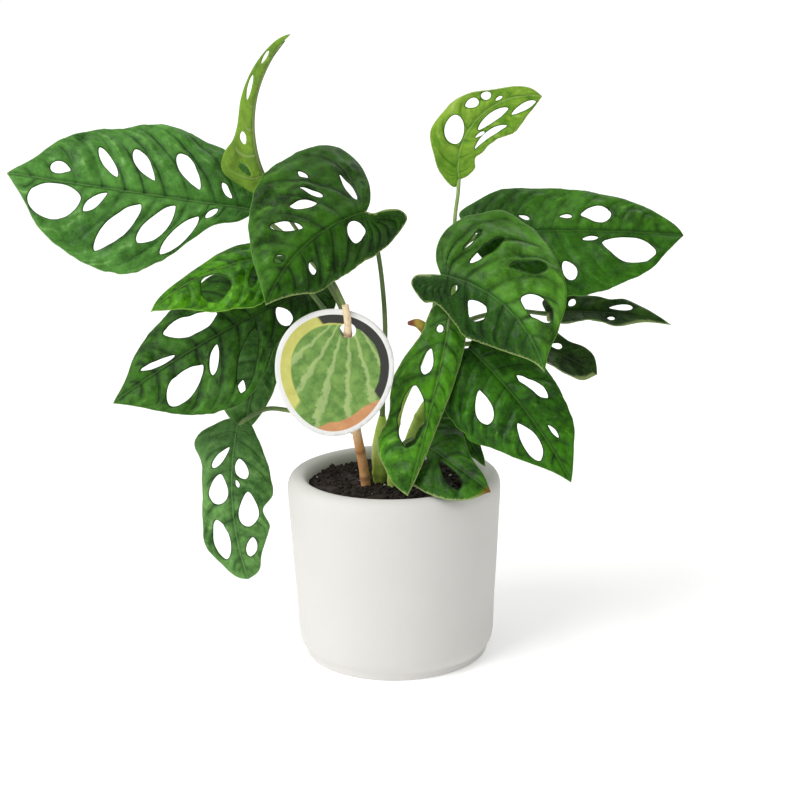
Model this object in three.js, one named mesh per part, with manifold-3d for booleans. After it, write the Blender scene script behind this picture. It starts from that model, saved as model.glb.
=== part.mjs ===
// Monstera adansonii, a Swiss cheese vine, growing in a round white ceramic pot.
// Millimetres and degrees, +Z up. The origin is the centre of the pot's flat base.
import * as THREE from 'three';
import { mergeVertices } from 'three/addons/utils/BufferGeometryUtils.js';
import Module from 'manifold-3d';

const wasm = await Module();
wasm.setup();

// Driving dimensions.
const FIT_GAP = 0.3;
const POT_RADIUS = 72.5;
const POT_HEIGHT = 126.5;
const POT_FOOT_RADIUS = 63;
const POT_FLOOR = 9;
const RIM_CREST_RADIUS = 65.6;
const RIM_MOUTH_RADIUS = 58.7;
const SOIL_LEVEL = 118.5;
const SOIL_ROUGHNESS = 1.3;
const BLADE_THICKNESS = 0.8;
const TAG_WIDTH = 75;
const TAG_HEIGHT = 86;
const TAG_THICKNESS = 1.2;
const TAG_HOLE_RADIUS = 5.2;

// Finish of each kind of piece.
const finish = {
  ceramic: { color: 0xe9e8e4, roughness: 0.75 },
  soil: { color: 0x241a14, roughness: 0.95 },
  bark: { color: 0xb07a4e, roughness: 0.7 },
  greenStem: { color: 0x7d9b3f, roughness: 0.5 },
  leaf: { color: 0x2f6e2c, roughness: 0.4 },
  youngLeaf: { color: 0x76a332, roughness: 0.4 },
  shoot: { color: 0x9a7a34, roughness: 0.5 },
  card: { color: 0x8fae62, roughness: 0.6 },
};

const plant = new THREE.Group();

function addPiece(name, geometry, look) {
  const material = new THREE.MeshStandardMaterial({ ...finish[look], metalness: 0 });
  const mesh = new THREE.Mesh(geometry, material);
  mesh.name = name;
  plant.add(mesh);
}

// Solids: a closed geometry becomes a solid that can be joined or cut, and comes back again.
function toSolid(geometry) {
  const bare = geometry.clone();
  bare.deleteAttribute('normal');
  bare.deleteAttribute('uv');
  const merged = mergeVertices(bare, 1e-4);
  return new wasm.Manifold(new wasm.Mesh({
    numProp: 3,
    vertProperties: new Float32Array(merged.attributes.position.array),
    triVerts: new Uint32Array(merged.index.array),
  }));
}

function toGeometry(solid) {
  const mesh = solid.getMesh();
  const geometry = new THREE.BufferGeometry();
  geometry.setAttribute('position', new THREE.BufferAttribute(mesh.vertProperties, 3));
  geometry.setIndex(new THREE.BufferAttribute(mesh.triVerts, 1));
  geometry.computeVertexNormals();
  return geometry;
}

function largestBody(solid) {
  return solid.decompose().reduce((best, body) => (body.volume() > best.volume() ? body : best));
}

// Stems and stalks are round tubes that taper along a smooth path.
function stemGeometry(path, radii, sides, stepLength, growth = 0) {
  const curve = new THREE.CatmullRomCurve3(path.map((p) => new THREE.Vector3(...p)), false, 'centripetal');
  const steps = Math.max(3, Math.round(curve.getLength() / stepLength));
  const frames = curve.computeFrenetFrames(steps, false);
  const positions = [];
  for (let i = 0; i <= steps; i++) {
    const along = i / steps;
    const centre = curve.getPointAt(along);
    const radius = radiusAt(radii, along) + growth;
    for (let j = 0; j < sides; j++) {
      const angle = (j / sides) * 2 * Math.PI;
      const spoke = frames.normals[i].clone().multiplyScalar(radius * Math.cos(angle));
      spoke.addScaledVector(frames.binormals[i], radius * Math.sin(angle));
      positions.push(...spoke.add(centre));
    }
  }
  const firstCentre = positions.length / 3;
  positions.push(...curve.getPointAt(0), ...curve.getPointAt(1));
  const faces = [];
  for (let i = 0; i < steps; i++) {
    for (let j = 0; j < sides; j++) {
      const a = i * sides + j;
      const b = i * sides + ((j + 1) % sides);
      faces.push(a, b, b + sides, a, b + sides, a + sides);
    }
  }
  for (let j = 0; j < sides; j++) {
    const next = (j + 1) % sides;
    faces.push(firstCentre, next, j);
    faces.push(firstCentre + 1, steps * sides + j, steps * sides + next);
  }
  return indexedGeometry(positions, faces);
}

function radiusAt(radii, along) {
  const place = along * (radii.length - 1);
  const i = Math.min(Math.floor(place), radii.length - 2);
  return THREE.MathUtils.lerp(radii[i], radii[i + 1], place - i);
}

function indexedGeometry(positions, faces) {
  const geometry = new THREE.BufferGeometry();
  geometry.setAttribute('position', new THREE.Float32BufferAttribute(positions, 3));
  geometry.setIndex(faces);
  return geometry;
}

// Stems, from their roots in the soil to their tips.
const stems = {
  woody_stem: {
    look: 'bark',
    radii: [3.4, 3.3, 3.1, 3, 2.7, 2.2],
    path: [[-17, -8, 96], [-19, -12, 122], [-21, -15, 139], [-24, -24, 161], [-26, -34, 185],
      [-27, -46, 211], [-27, -58, 233], [-27, -65, 246], [-28, -67, 254]],
  },
  middle_stem: {
    look: 'greenStem',
    radii: [3.6, 3.6, 3.2, 2.6],
    path: [[-10, 0, 98], [-10, -3, 120], [-9, -5, 134], [-8, -8, 150], [-7, -10, 168]],
  },
  shoot_stem: {
    look: 'greenStem',
    radii: [3.4, 3.3, 3, 2.6, 2.2],
    path: [[-1, -12, 98], [-1, -14, 120], [-1, -14, 142], [1, -14, 159], [5, -14, 176], [13, -14, 194],
      [21, -14, 213], [26, -14, 228]],
  },
  main_stem: {
    look: 'greenStem',
    radii: [4.2, 4.2, 3.9, 3.6, 3.2, 2.6],
    path: [[8, 4, 96], [9, 4, 120], [11, 4, 143], [19, 4, 164], [27, 3, 178], [33, 0, 200], [38, 0, 224],
      [40, 1, 244], [41, 2, 262]],
  },
};

const STEM_SIDES = 9;
const STEM_STEP = 11;

function stemSolid(stem, growth = 0) {
  return toSolid(stemGeometry(stem.path, stem.radii, STEM_SIDES, STEM_STEP, growth));
}

for (const [name, stem] of Object.entries(stems)) {
  stem.clearance = stemSolid(stem, FIT_GAP);
  addPiece(name, toGeometry(stemSolid(stem)), stem.look);
}

// Leaves. Each blade is drawn flat, then bent. Its points are [along, across]: along runs from the
// stalk to the tip on the midrib, and across is positive on the left half and negative on the right,
// as seen on the upper face with the tip up. A hole is [along, across, along, across, width]: its two
// ends and its width. base and tip place the midrib, face is the way the upper side looks, arch and
// sway are the midrib's bend towards the face and towards the left, and fold and cup turn each half
// up at the midrib and curl it on the way to its edge.
const leaves = [
  {
    name: 'leaf_far_left', look: 'leaf', growsFrom: 'woody_stem',
    base: [-91, 5, 306], tip: [-242, -25, 335], face: [-0.15, -0.8, 0.6],
    arch: 22, sway: 14, fold: [8, 8], cup: [-20, -20], halfWidth: 50, wave: 1.2,
    left: [[0, 4], [9, 11], [26, 17], [40, 29], [58, 46], [80, 59], [101, 54], [130, 37], [142, 20]],
    right: [[-8, -7], [-6, -22], [8, -36], [34, -49], [60, -54], [94, -46], [128, -30], [144, -12]],
    holes: [[119, -8, 132, -10, 8], [89, -9, 102, -26, 8], [65, -10, 80, -30, 9], [35, -8, 50, -33, 11],
      [13, -5, 20, -15, 5], [109, 10, 139, 15, 21], [94, 4, 107, 20, 6], [73, 9, 96, 44, 13],
      [50, 6, 73, 38, 11], [36, 12, 58, 41, 9], [23, 4, 31, 12, 4]],
    stalk: [[-29, -62, 248], [-36, -36, 256], [-46, -18, 268], [-62, -3, 283], [-80, 4, 297]],
  },
  {
    name: 'leaf_top_left_young', look: 'youngLeaf', growsFrom: 'woody_stem',
    base: [-80, -5, 323], tip: [-60, -25, 418], face: [-0.6, 0.8, 0],
    arch: 42, sway: -56, fold: [45, 30], cup: [0, 0], halfWidth: 25, wave: 0.5,
    left: [[0, 3], [10, 6], [22, 7], [38, 6], [60, 5], [80, 4], [96, 2]],
    right: [[-3, -8], [5, -15], [12, -21], [18, -23], [25, -19], [32, -12], [40, -9], [60, -8], [80, -6],
      [98, -3]],
    holes: [[80, -3, 89, -3, 2], [56, -4, 71, -5, 2.6], [28, -5, 36, -6, 4], [9, -6, 17, -11, 4.5]],
    stalk: [[-28, -67, 252], [-31, -58, 257], [-36, -43, 264], [-50, -26, 282], [-64, -13, 300],
      [-74, -8, 315]],
  },
  {
    name: 'leaf_front_left', look: 'leaf', growsFrom: 'middle_stem',
    base: [-14, -35, 308], tip: [-75, -90, 259], face: [-0.25, -0.95, 0.25],
    arch: 18, sway: -47, fold: [-38, 5], cup: [-15, -15], halfWidth: 45, wave: 1,
    left: [[-4, 2], [-14, 1], [-24, 2], [-29, 7], [-25, 14], [-9, 26], [12, 31], [46, 32], [66, 27],
      [82, 14]],
    right: [[-5, -6], [-10, -20], [-10, -42], [-3, -58], [10, -63], [26, -60], [41, -52], [63, -33],
      [87, -9]],
    holes: [[19, -47, 19, -38, 3], [27, -33, 19, -20, 3], [38, -26, 25, -18, 7], [55, -25, 43, -9, 6],
      [3, -31, 2, -10, 4], [4, 12, 18, 9, 13], [65, -4, 71, -8, 4.5], [54, 10, 56, 19, 6.5]],
    stalk: [[-7, -10, 166], [-6, -13, 195], [-4, -18, 228], [-5, -23, 256], [-8, -29, 283], [-12, -33, 299]],
  },
  {
    name: 'leaf_mid_left', look: 'leaf', growsFrom: 'woody_stem',
    base: [-77, -15, 277], tip: [-152, -50, 249], face: [-0.2, -0.75, 0.7],
    arch: 20, sway: -34, fold: [0, -15], cup: [-15, -15], halfWidth: 35, wave: 0.8,
    left: [[-6, 6], [-7, 16], [0, 28], [18, 35], [38, 34], [56, 29], [72, 16], [82, 8]],
    right: [[-4, -12], [2, -22], [14, -24], [26, -19], [40, -12], [58, -7], [78, -4]],
    holes: [[33, 13, 55, 12, 20], [11, 7, 21, 22, 5.5]],
    stalk: [[-27, -52, 224], [-40, -30, 240], [-54, -18, 256], [-68, -15, 270]],
  },
  {
    name: 'leaf_low_left', look: 'leaf', growsFrom: 'woody_stem',
    base: [-55, 5, 252], tip: [-185, -20, 182], face: [-0.25, -0.85, 0.45],
    arch: 18, sway: -6, fold: [0, 0], cup: [-15, -15], halfWidth: 50, wave: 1.2,
    left: [[-6, 2], [-14, 6], [-12, 18], [5, 26], [33, 25], [51, 38], [74, 49], [90, 47], [114, 35],
      [140, 10]],
    right: [[-4, -8], [-4, -22], [10, -34], [32, -41], [54, -42], [74, -37], [92, -32], [117, -22],
      [138, -6]],
    holes: [[60, -12, 98, -20, 14], [98, -3, 122, -6, 4.5], [87, 13, 118, 24, 17], [71, 6, 83, 22, 6.5],
      [44, 10, 72, 42, 12], [24, 2.5, 22, 18, 9.5]],
    stalk: [[-26, -37, 192], [-31, -22, 209], [-40, -6, 232], [-48, 3, 245]],
  },
  {
    name: 'leaf_back_left', look: 'leaf', growsFrom: 'woody_stem',
    base: [-87, 31, 217], tip: [-103, 15, 150], face: [-0.1, -0.9, 0.3],
    arch: 15, sway: 0, fold: [0, 0], cup: [-10, -10], halfWidth: 30, wave: 0.6,
    left: [[-5, 6], [4, 13], [18, 16], [36, 15], [52, 11], [62, 6]],
    right: [[-5, -6], [-3, -16], [8, -25], [26, -28], [44, -25], [58, -16]],
    holes: [[35, -8, 46, -7, 6]],
    stalk: [[-25, -30, 176], [-38, -2, 186], [-63, 20, 206], [-79, 29, 212]],
  },
  {
    name: 'leaf_hanging', look: 'leaf', growsFrom: 'woody_stem',
    base: [-105, 0, 161], tip: [-100, -20, 57], face: [-0.1, -0.95, 0.25],
    arch: 20, sway: -28, fold: [-5, -5], cup: [-15, -15], halfWidth: 28, wave: 1.6,
    left: [[-3, 7], [8, 16], [20, 22], [34, 26], [49, 28], [60, 21], [74, 23], [93, 14], [104, 9]],
    right: [[-3, -5], [3, -17], [11, -28], [17, -30], [27, -23], [42, -21], [62, -23], [79, -24], [91, -17],
      [104, -7]],
    holes: [[16, -3, 31, -13, 4], [36, -8, 53, -11, 11], [65, -12, 89, -11, 11], [24, 4, 37, 9, 7],
      [38, 3, 43, 5, 2.5], [48, 11, 70, 10, 12], [80, 11, 92, 6, 6]],
    stalk: [[-23, -20, 158], [-48, -14, 171], [-68, -8, 172], [-84, -2, 172], [-95, 0, 167]],
  },
  {
    name: 'leaf_top_right_young', look: 'youngLeaf', growsFrom: 'main_stem',
    base: [46, 0, 323], tip: [99, -8, 376], face: [0.3, -0.85, 0.2],
    arch: 10, sway: 112, fold: [0, 0], cup: [0, 0], halfWidth: 35, wave: 0.8,
    left: [[-4, 4], [6, 12], [14, 16], [25, 22], [34, 21], [46, 18], [60, 10], [81, 5]],
    right: [[2, -6], [8, -11], [17, -11], [22, -14], [41, -18], [53, -21], [68, -20], [83, -9]],
    holes: [[24, 4, 36, 12, 9], [44, 11, 50, 8, 5], [54, 10, 56, 5, 4.5], [59, 2.5, 64, 3, 2],
      [38, -5, 64, -6, 5], [32, -6, 40, -9, 2], [24, -9, 58, -15, 3.5], [64, -10, 84, -4, 4]],
    stalk: [[41, 2, 260], [42, 2, 284], [43, 1, 300], [45, 0, 315]],
  },
  {
    name: 'leaf_far_right', look: 'leaf', growsFrom: 'main_stem',
    base: [58, 10, 287], tip: [197, 20, 282], face: [0.2, -0.8, 0.6],
    arch: 20, sway: -3, fold: [5, 5], cup: [-20, -20], halfWidth: 42, wave: 1,
    left: [[-6, 4], [-12, 15], [-2, 23], [15, 32], [45, 34], [70, 31], [104, 24], [133, 8]],
    right: [[-3, -8], [5, -22], [30, -40], [57, -47], [79, -43], [111, -29], [128, -12]],
    holes: [[69, 11, 91, 13, 10.5], [82, -9, 118, -17, 18], [56, -23, 62, -35, 9.5], [28, 12, 35, 9, 3],
      [55, 10, 63, 10, 3], [69, -6, 80, -5, 3]],
    stalk: [[40, 1, 243], [43, 9, 262], [50, 13, 279]],
  },
  {
    name: 'leaf_front_right', look: 'leaf', growsFrom: 'shoot_stem',
    base: [32, -35, 267], tip: [95, -75, 211], face: [0.1, -0.9, 0.3],
    arch: 15, sway: 62, fold: [-5, -30], cup: [-15, -10], halfWidth: 48, wave: 1.2,
    left: [[-5, 9], [-7, 22], [-4, 38], [6, 53], [15, 61], [28, 60], [44, 51], [61, 39], [77, 19], [88, 6]],
    right: [[-9, -1], [-17, -2], [-20, -7], [-11, -19], [-2, -19], [10, -24], [34, -33], [57, -27], [73, -19],
      [91, -4]],
    holes: [[14, 13, 23, 39, 5.5], [8, 21, 12, 39, 2], [35, 22, 48, 39, 7], [50, 12, 71, 18, 15],
      [10, -12, 12, -4, 3.5], [25, -11, 41, -15, 12]],
    stalk: [[25, -14, 224], [28, -11, 233], [29, -13, 244], [30, -21, 254], [31, -30, 262]],
  },
  {
    name: 'leaf_curled_right', look: 'leaf', growsFrom: 'main_stem',
    base: [107, 45, 226], tip: [192, 30, 219], face: [0.05, -0.75, 0.6],
    arch: 15, sway: 16, fold: [0, 0], cup: [0, 90], halfWidth: 22, wave: 0.6,
    left: [[-2, 9], [10, 14], [32, 13], [43, 10], [54, 12], [66, 8], [76, 4]],
    right: [[3, -13], [16, -18], [30, -16], [40, -18], [54, -13], [66, -5], [76, -2]],
    holes: [[16, 4, 20, 9, 4.5], [44, 4, 59, 6, 4.5], [43, -4, 48, -4, 3]],
    stalk: [[38, 0, 224], [60, 18, 229], [85, 36, 229]],
  },
  {
    name: 'leaf_small_right', look: 'leaf', growsFrom: 'main_stem',
    base: [93, 20, 212], tip: [139, 8, 190], face: [0.1, -0.8, 0.5],
    arch: 25, sway: 0, fold: [0, 0], cup: [-10, 95], halfWidth: 28, wave: 0.6,
    left: [[0, 7], [12, 12], [30, 12], [43, 8]],
    right: [[-1, -7], [7, -16], [18, -23], [31, -23], [43, -12]],
    holes: [[15, 3.5, 23, 5, 4.5]],
    stalk: [[36, 0, 213], [59, 8, 213], [78, 15, 214]],
  },
  {
    name: 'leaf_low_right', look: 'leaf', growsFrom: 'main_stem',
    base: [50, -25, 217], tip: [115, -55, 133], face: [0, -0.85, 0.55],
    arch: 20, sway: 15, fold: [0, 0], cup: [-20, -20], halfWidth: 42, wave: 1,
    left: [[-2, 7], [6, 15], [20, 23], [37, 29], [63, 27], [80, 22], [93, 13]],
    right: [[-4, -8], [2, -24], [21, -40], [49, -40], [66, -31], [84, -19], [100, -7]],
    holes: [[35, 10, 57, 17, 7], [59, -9, 89, -10, 10], [72, 6, 82, 8, 2.7], [27, -15, 48, -26, 11]],
    stalk: [[32, 0, 195], [40, -11, 205], [46, -20, 213]],
  },
  {
    name: 'leaf_centre', look: 'leaf', growsFrom: 'main_stem',
    base: [40, -24, 245], tip: [9, -66, 129], face: [-0.3, -0.8, 0.4],
    arch: 12, sway: 10, fold: [-35, 5], cup: [-10, -25], halfWidth: 30, wave: 1.2,
    left: [[0, 6], [16, 13], [35, 13], [55, 11], [76, 8], [97, 5], [117, 2]],
    right: [[0, -12], [21, -18], [35, -25], [51, -31], [66, -32], [79, -29], [91, -31], [103, -30],
      [115, -21], [123, -11]],
    holes: [[14, -7, 19, -4, 4.5], [31, -9, 48, -9, 8], [57, -13, 96, -10, 19]],
    stalk: [[35, 0, 212], [39, -8, 226], [40, -17, 237]],
  },
  {
    name: 'leaf_over_rim', look: 'leaf', growsFrom: 'shoot_stem',
    base: [14, -34, 159], tip: [62, -68, 132], face: [0.15, -0.8, 0.55],
    arch: 15, sway: 0, fold: [0, 0], cup: [-20, -20], halfWidth: 30, wave: 0.6,
    left: [[-3, 9], [-1, 20], [7, 28], [19, 25], [38, 12], [54, 6]],
    right: [[-2, -8], [4, -20], [14, -28], [28, -27], [46, -22], [58, -13]],
    holes: [[16, -6, 19, -15, 3.5], [26, -4, 49, -12, 8]],
    stalk: [[-1, -14, 138], [4, -22, 147], [10, -30, 156]],
  },
  {
    name: 'leaf_inner', look: 'leaf', growsFrom: 'main_stem',
    base: [32, -5, 180], tip: [62, -15, 133], face: [0.25, -0.8, 0.5],
    arch: 10, sway: 0, fold: [0, 0], cup: [0, 0], halfWidth: 25, wave: 0.4,
    left: [[2, 8], [14, 14], [30, 11], [42, 5], [52, 2]],
    right: [[0, -8], [12, -19], [26, -21], [38, -14], [47, -5], [54, -2]],
    holes: [[20, -6, 30, -13, 4]],
    stalk: [[23, 3, 172], [28, -1, 178]],
  },
];

// Bend of a blade: the midrib is an arc from base to tip, and each half is an arc across it.
function leafSurface(leaf) {
  const base = new THREE.Vector3(...leaf.base);
  const chord = new THREE.Vector3(...leaf.tip).sub(base);
  const reach = chord.length();
  const forward = chord.clone().normalize();
  const face = new THREE.Vector3(...leaf.face);
  face.addScaledVector(forward, -face.dot(forward)).normalize();
  const leftward = face.clone().cross(forward);
  const arch = THREE.MathUtils.degToRad(leaf.arch);
  const sway = THREE.MathUtils.degToRad(leaf.sway);
  const bend = Math.hypot(arch, sway);
  const bulge = face.clone().multiplyScalar(arch / bend).addScaledVector(leftward, sway / bend);
  const axis = forward.clone().cross(bulge);
  const radius = reach / (2 * Math.sin(bend / 2));
  const length = radius * bend;

  function frame(along) {
    const turn = along / radius - bend / 2;
    const centre = base.clone();
    centre.addScaledVector(forward, radius * (Math.sin(turn) + Math.sin(bend / 2)));
    centre.addScaledVector(bulge, radius * (Math.cos(turn) - Math.cos(bend / 2)));
    const tangent = forward.clone().multiplyScalar(Math.cos(turn)).addScaledVector(bulge, -Math.sin(turn));
    const outward = bulge.clone().multiplyScalar(Math.cos(turn)).addScaledVector(forward, Math.sin(turn));
    const up = outward.multiplyScalar(face.dot(bulge)).addScaledVector(axis, face.dot(axis));
    return { centre, up, left: up.clone().cross(tangent) };
  }

  function point(along, across) {
    const { centre, up, left } = frame(along);
    const half = across >= 0 ? 0 : 1;
    const distance = Math.abs(across);
    const tilt = THREE.MathUtils.degToRad(leaf.fold[half]);
    const curl = THREE.MathUtils.degToRad(leaf.cup[half] || 0.01) / leaf.halfWidth;
    const reachOut = (Math.sin(tilt + curl * distance) - Math.sin(tilt)) / curl;
    const rise = (Math.cos(tilt) - Math.cos(tilt + curl * distance)) / curl;
    const phase = (5 * Math.PI * along) / length + 2 * half;
    const ripple = leaf.wave * (distance / leaf.halfWidth) ** 2 * Math.sin(phase);
    return centre.addScaledVector(left, Math.sign(across) * reachOut).addScaledVector(up, rise + ripple);
  }

  function normal(along, across) {
    const step = 0.5;
    const forwardStep = point(along + step, across).sub(point(along - step, across));
    const leftStep = point(along, across + step).sub(point(along, across - step));
    return forwardStep.cross(leftStep).normalize();
  }
  return { length, point, normal };
}

// Outline and holes of a blade, as flat rings of [along, across] points.
const OUTLINE_STEPS = 12;
const LONG_HOLE = 8;

function smoothSide(points, steps) {
  const corners = points.map(([x, y]) => new THREE.Vector3(x, y, 0));
  const curve = new THREE.CatmullRomCurve3(corners, false, 'centripetal');
  return curve.getSpacedPoints(steps).map((p) => new THREE.Vector2(p.x, p.y));
}

function outlineRing(leaf, length) {
  const leftSide = smoothSide([[0, 0], ...leaf.left, [length, 0]], OUTLINE_STEPS);
  const rightSide = smoothSide([[0, 0], ...leaf.right, [length, 0]], OUTLINE_STEPS);
  return [...rightSide.slice(0, -1), ...leftSide.slice(1).reverse()];
}

function holeRing([fromAlong, fromAcross, toAlong, toAcross, width]) {
  const from = new THREE.Vector2(fromAlong, fromAcross);
  const to = new THREE.Vector2(toAlong, toAcross);
  const middle = from.clone().add(to).multiplyScalar(0.5);
  const long = to.clone().sub(middle);
  const short = new THREE.Vector2(-long.y, long.x).setLength(width / 2);
  const corners = from.distanceTo(to) > LONG_HOLE ? 8 : 6;
  return Array.from({ length: corners }, (_, i) => {
    const angle = (-i / corners) * 2 * Math.PI;
    return middle.clone().addScaledVector(long, Math.cos(angle)).addScaledVector(short, Math.sin(angle));
  });
}

function isInside(p, ring) {
  let inside = false;
  ring.forEach((a, i) => {
    const b = ring[(i + 1) % ring.length];
    const crosses = (a.y > p.y) !== (b.y > p.y);
    if (crosses && p.x < ((b.x - a.x) * (p.y - a.y)) / (b.y - a.y) + a.x) inside = !inside;
  });
  return inside;
}

function isFlesh(p, outline, holes, margin) {
  if (!isInside(p, outline) || holes.some((ring) => isInside(p, ring))) return false;
  return [outline, ...holes].every((ring) => ring.every((corner) => corner.distanceTo(p) > margin));
}

// Points inside the blade, on the midrib and in rows beside it, so that the bends stay smooth.
function innerPoints(leaf, length, outline, holes) {
  const points = [];
  const rowSpacing = leaf.halfWidth * 0.42;
  const stepLength = Math.max(7, length / 14);
  for (let row = -2; row <= 2; row++) {
    const spacing = row === 0 ? stepLength : 1.5 * stepLength;
    for (let along = spacing / 2; along < length; along += spacing) {
      const p = new THREE.Vector2(along, row * rowSpacing);
      if (isFlesh(p, outline, holes, row === 0 ? 1.5 : 4)) points.push(p);
    }
  }
  return points;
}

// Twice the area of the triangle of three flat points, positive when they run anticlockwise.
function turnOf(p, q, r) {
  return (q.x - p.x) * (r.y - p.y) - (r.x - p.x) * (q.y - p.y);
}

// Splits the triangle that holds an inner point into three that meet there.
function insertPoint(points, triangles, index) {
  const p = points[index];
  const holder = triangles.findIndex(([a, b, c]) => turnOf(points[a], points[b], p) > 0
    && turnOf(points[b], points[c], p) > 0 && turnOf(points[c], points[a], p) > 0);
  if (holder < 0) return;
  const [a, b, c] = triangles[holder];
  triangles.splice(holder, 1, [a, b, index], [b, c, index], [c, a, index]);
}

// Flips the shared edge of two triangles wherever that makes both of them fatter.
function fattenTriangles(points, triangles) {
  const cotangent = (apex, a, b) => {
    const u = points[a].clone().sub(points[apex]);
    const v = points[b].clone().sub(points[apex]);
    return u.dot(v) / Math.abs(u.cross(v));
  };
  const turns = (a, b, c) => turnOf(points[a], points[b], points[c]) > 1e-6;
  for (let round = 0; round < 40; round++) {
    const edges = new Map();
    const changed = new Set();
    for (const triangle of triangles) {
      for (let k = 0; k < 3; k++) {
        const [a, b, c] = [triangle[k], triangle[(k + 1) % 3], triangle[(k + 2) % 3]];
        const mate = edges.get(`${b},${a}`);
        edges.set(`${a},${b}`, triangle);
        if (!mate || changed.has(mate)) continue;
        const d = mate.find((corner) => corner !== a && corner !== b);
        if (cotangent(c, a, b) + cotangent(d, a, b) < -1e-9 && turns(c, a, d) && turns(c, d, b)) {
          triangle.splice(0, 3, c, a, d);
          mate.splice(0, 3, c, d, b);
          changed.add(triangle).add(mate);
          break;
        }
      }
    }
    if (changed.size === 0) return;
  }
}

// Blade: the flat drawing in triangles, bent, and given its thickness alike on both faces.
function bladeGeometry(leaf, surface) {
  const outline = outlineRing(leaf, surface.length);
  const holes = leaf.holes.map(holeRing);
  const inner = innerPoints(leaf, surface.length, outline, holes);
  const edgeCount = outline.length + holes.flat().length;
  const points = [...outline, ...holes.flat(), ...inner];
  const triangles = THREE.ShapeUtils.triangulateShape(outline, holes);
  fattenTriangles(points, triangles);
  for (let i = edgeCount; i < points.length; i++) insertPoint(points, triangles, i);
  fattenTriangles(points, triangles);
  const positions = [];
  for (const side of [0.5, -0.5]) {
    for (const p of points) {
      const lifted = surface.point(p.x, p.y);
      lifted.addScaledVector(surface.normal(p.x, p.y), side * BLADE_THICKNESS);
      positions.push(...lifted);
    }
  }
  const count = points.length;
  const faces = [];
  for (const [a, b, c] of triangles) {
    faces.push(a, b, c, a + count, c + count, b + count);
  }
  let start = 0;
  for (const ring of [outline, ...holes]) {
    ring.forEach((_, i) => {
      const a = start + i;
      const b = start + ((i + 1) % ring.length);
      faces.push(a, a + count, b + count, a, b + count, b);
    });
    start += ring.length;
  }
  return indexedGeometry(positions, faces);
}

// Stalk: from inside the stem to the blade, then on under the blade as its raised midrib.
const STALK_SIDES = 6;
const STALK_STEP = 12;
const STALK_RADII = [2.1, 1.9, 1.7, 1.6, 1.3, 0.9, 0.6];
const MIDRIB_SHARE = [0.03, 0.2, 0.4, 0.6, 0.8];

function stalkGeometry(leaf, surface) {
  const midrib = MIDRIB_SHARE.map((share) => {
    const along = share * surface.length;
    const sink = THREE.MathUtils.lerp(1.3, 0.5, share);
    return surface.point(along, 0).addScaledVector(surface.normal(along, 0), -sink).toArray();
  });
  return stemGeometry([...leaf.stalk, ...midrib], STALK_RADII, STALK_SIDES, STALK_STEP);
}

for (const leaf of leaves) {
  const surface = leafSurface(leaf);
  const blade = toSolid(bladeGeometry(leaf, surface));
  const stalk = toSolid(stalkGeometry(leaf, surface));
  const whole = blade.add(stalk).subtract(stems[leaf.growsFrom].clearance);
  addPiece(leaf.name, toGeometry(largestBody(whole)), leaf.look);
}

// New shoot: a leaf still rolled in its sheath, at the end of its own stem.
const shootPath = [[24, -15, 222], [21, -18, 229], [17, -22, 233], [11, -24, 233.5]];
const shootSolid = toSolid(stemGeometry(shootPath, [1.6, 2.6, 2.4, 1.4, 0.5], STALK_SIDES, 3));
addPiece('new_shoot', toGeometry(largestBody(shootSolid.subtract(stems.shoot_stem.clearance))), 'shoot');

// Pot: a thick-walled slip-cast cylinder, a little narrower at the foot, with a round rim.
const POT_SEGMENTS = 52;
const potProfile = [
  [0, 0], [POT_FOOT_RADIUS - 1.5, 0], [POT_FOOT_RADIUS, 1.5], [POT_FOOT_RADIUS + 0.4, 5], [66.3, 9.5],
  [70.2, 70], [POT_RADIUS, 117], [71.7, 121.5], [69.3, 125.2], [RIM_CREST_RADIUS, POT_HEIGHT], [62, 125.8],
  [59.7, 123.3], [RIM_MOUTH_RADIUS, 119], [58, 100], [55, POT_FLOOR + 5], [51, POT_FLOOR], [0, POT_FLOOR],
];

function turned(profile, segments) {
  const lathe = new THREE.LatheGeometry(profile.map(([x, y]) => new THREE.Vector2(x, y)), segments);
  return lathe.rotateX(Math.PI / 2);
}

addPiece('pot', toGeometry(toSolid(turned(potProfile, POT_SEGMENTS))), 'ceramic');

// Soil: peat that fills the pot, uneven on top, with a plain hole for each stem.
const SOIL_SEGMENTS = 28;
const soilRings = [45, 30, 15];
const soilWall = RIM_MOUTH_RADIUS - FIT_GAP;
const soilProfile = [
  [0, POT_FLOOR + FIT_GAP], [50.5, POT_FLOOR + FIT_GAP], [54, POT_FLOOR + 5], [57, 97], [soilWall - 0.6, 116],
  ...soilRings.map((radius) => [radius, SOIL_LEVEL]), [0, SOIL_LEVEL],
];
const soilGeometry = turned(soilProfile, SOIL_SEGMENTS);
const soilPlaces = soilGeometry.attributes.position;
for (let i = 0; i < soilPlaces.count; i++) {
  const [x, y, z] = [soilPlaces.getX(i), soilPlaces.getY(i), soilPlaces.getZ(i)];
  if (z > SOIL_LEVEL - 1) {
    const lump = Math.sin(x * 0.21 + 1.3) * Math.cos(y * 0.17 - 0.4) + 0.6 * Math.sin(x * 0.43 - y * 0.38);
    soilPlaces.setZ(i, z + SOIL_ROUGHNESS * lump);
  }
}
let soilSolid = toSolid(soilGeometry);
for (const stem of Object.values(stems)) soilSolid = soilSolid.subtract(stem.clearance);
addPiece('soil', toGeometry(largestBody(soilSolid)), 'soil');

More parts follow.
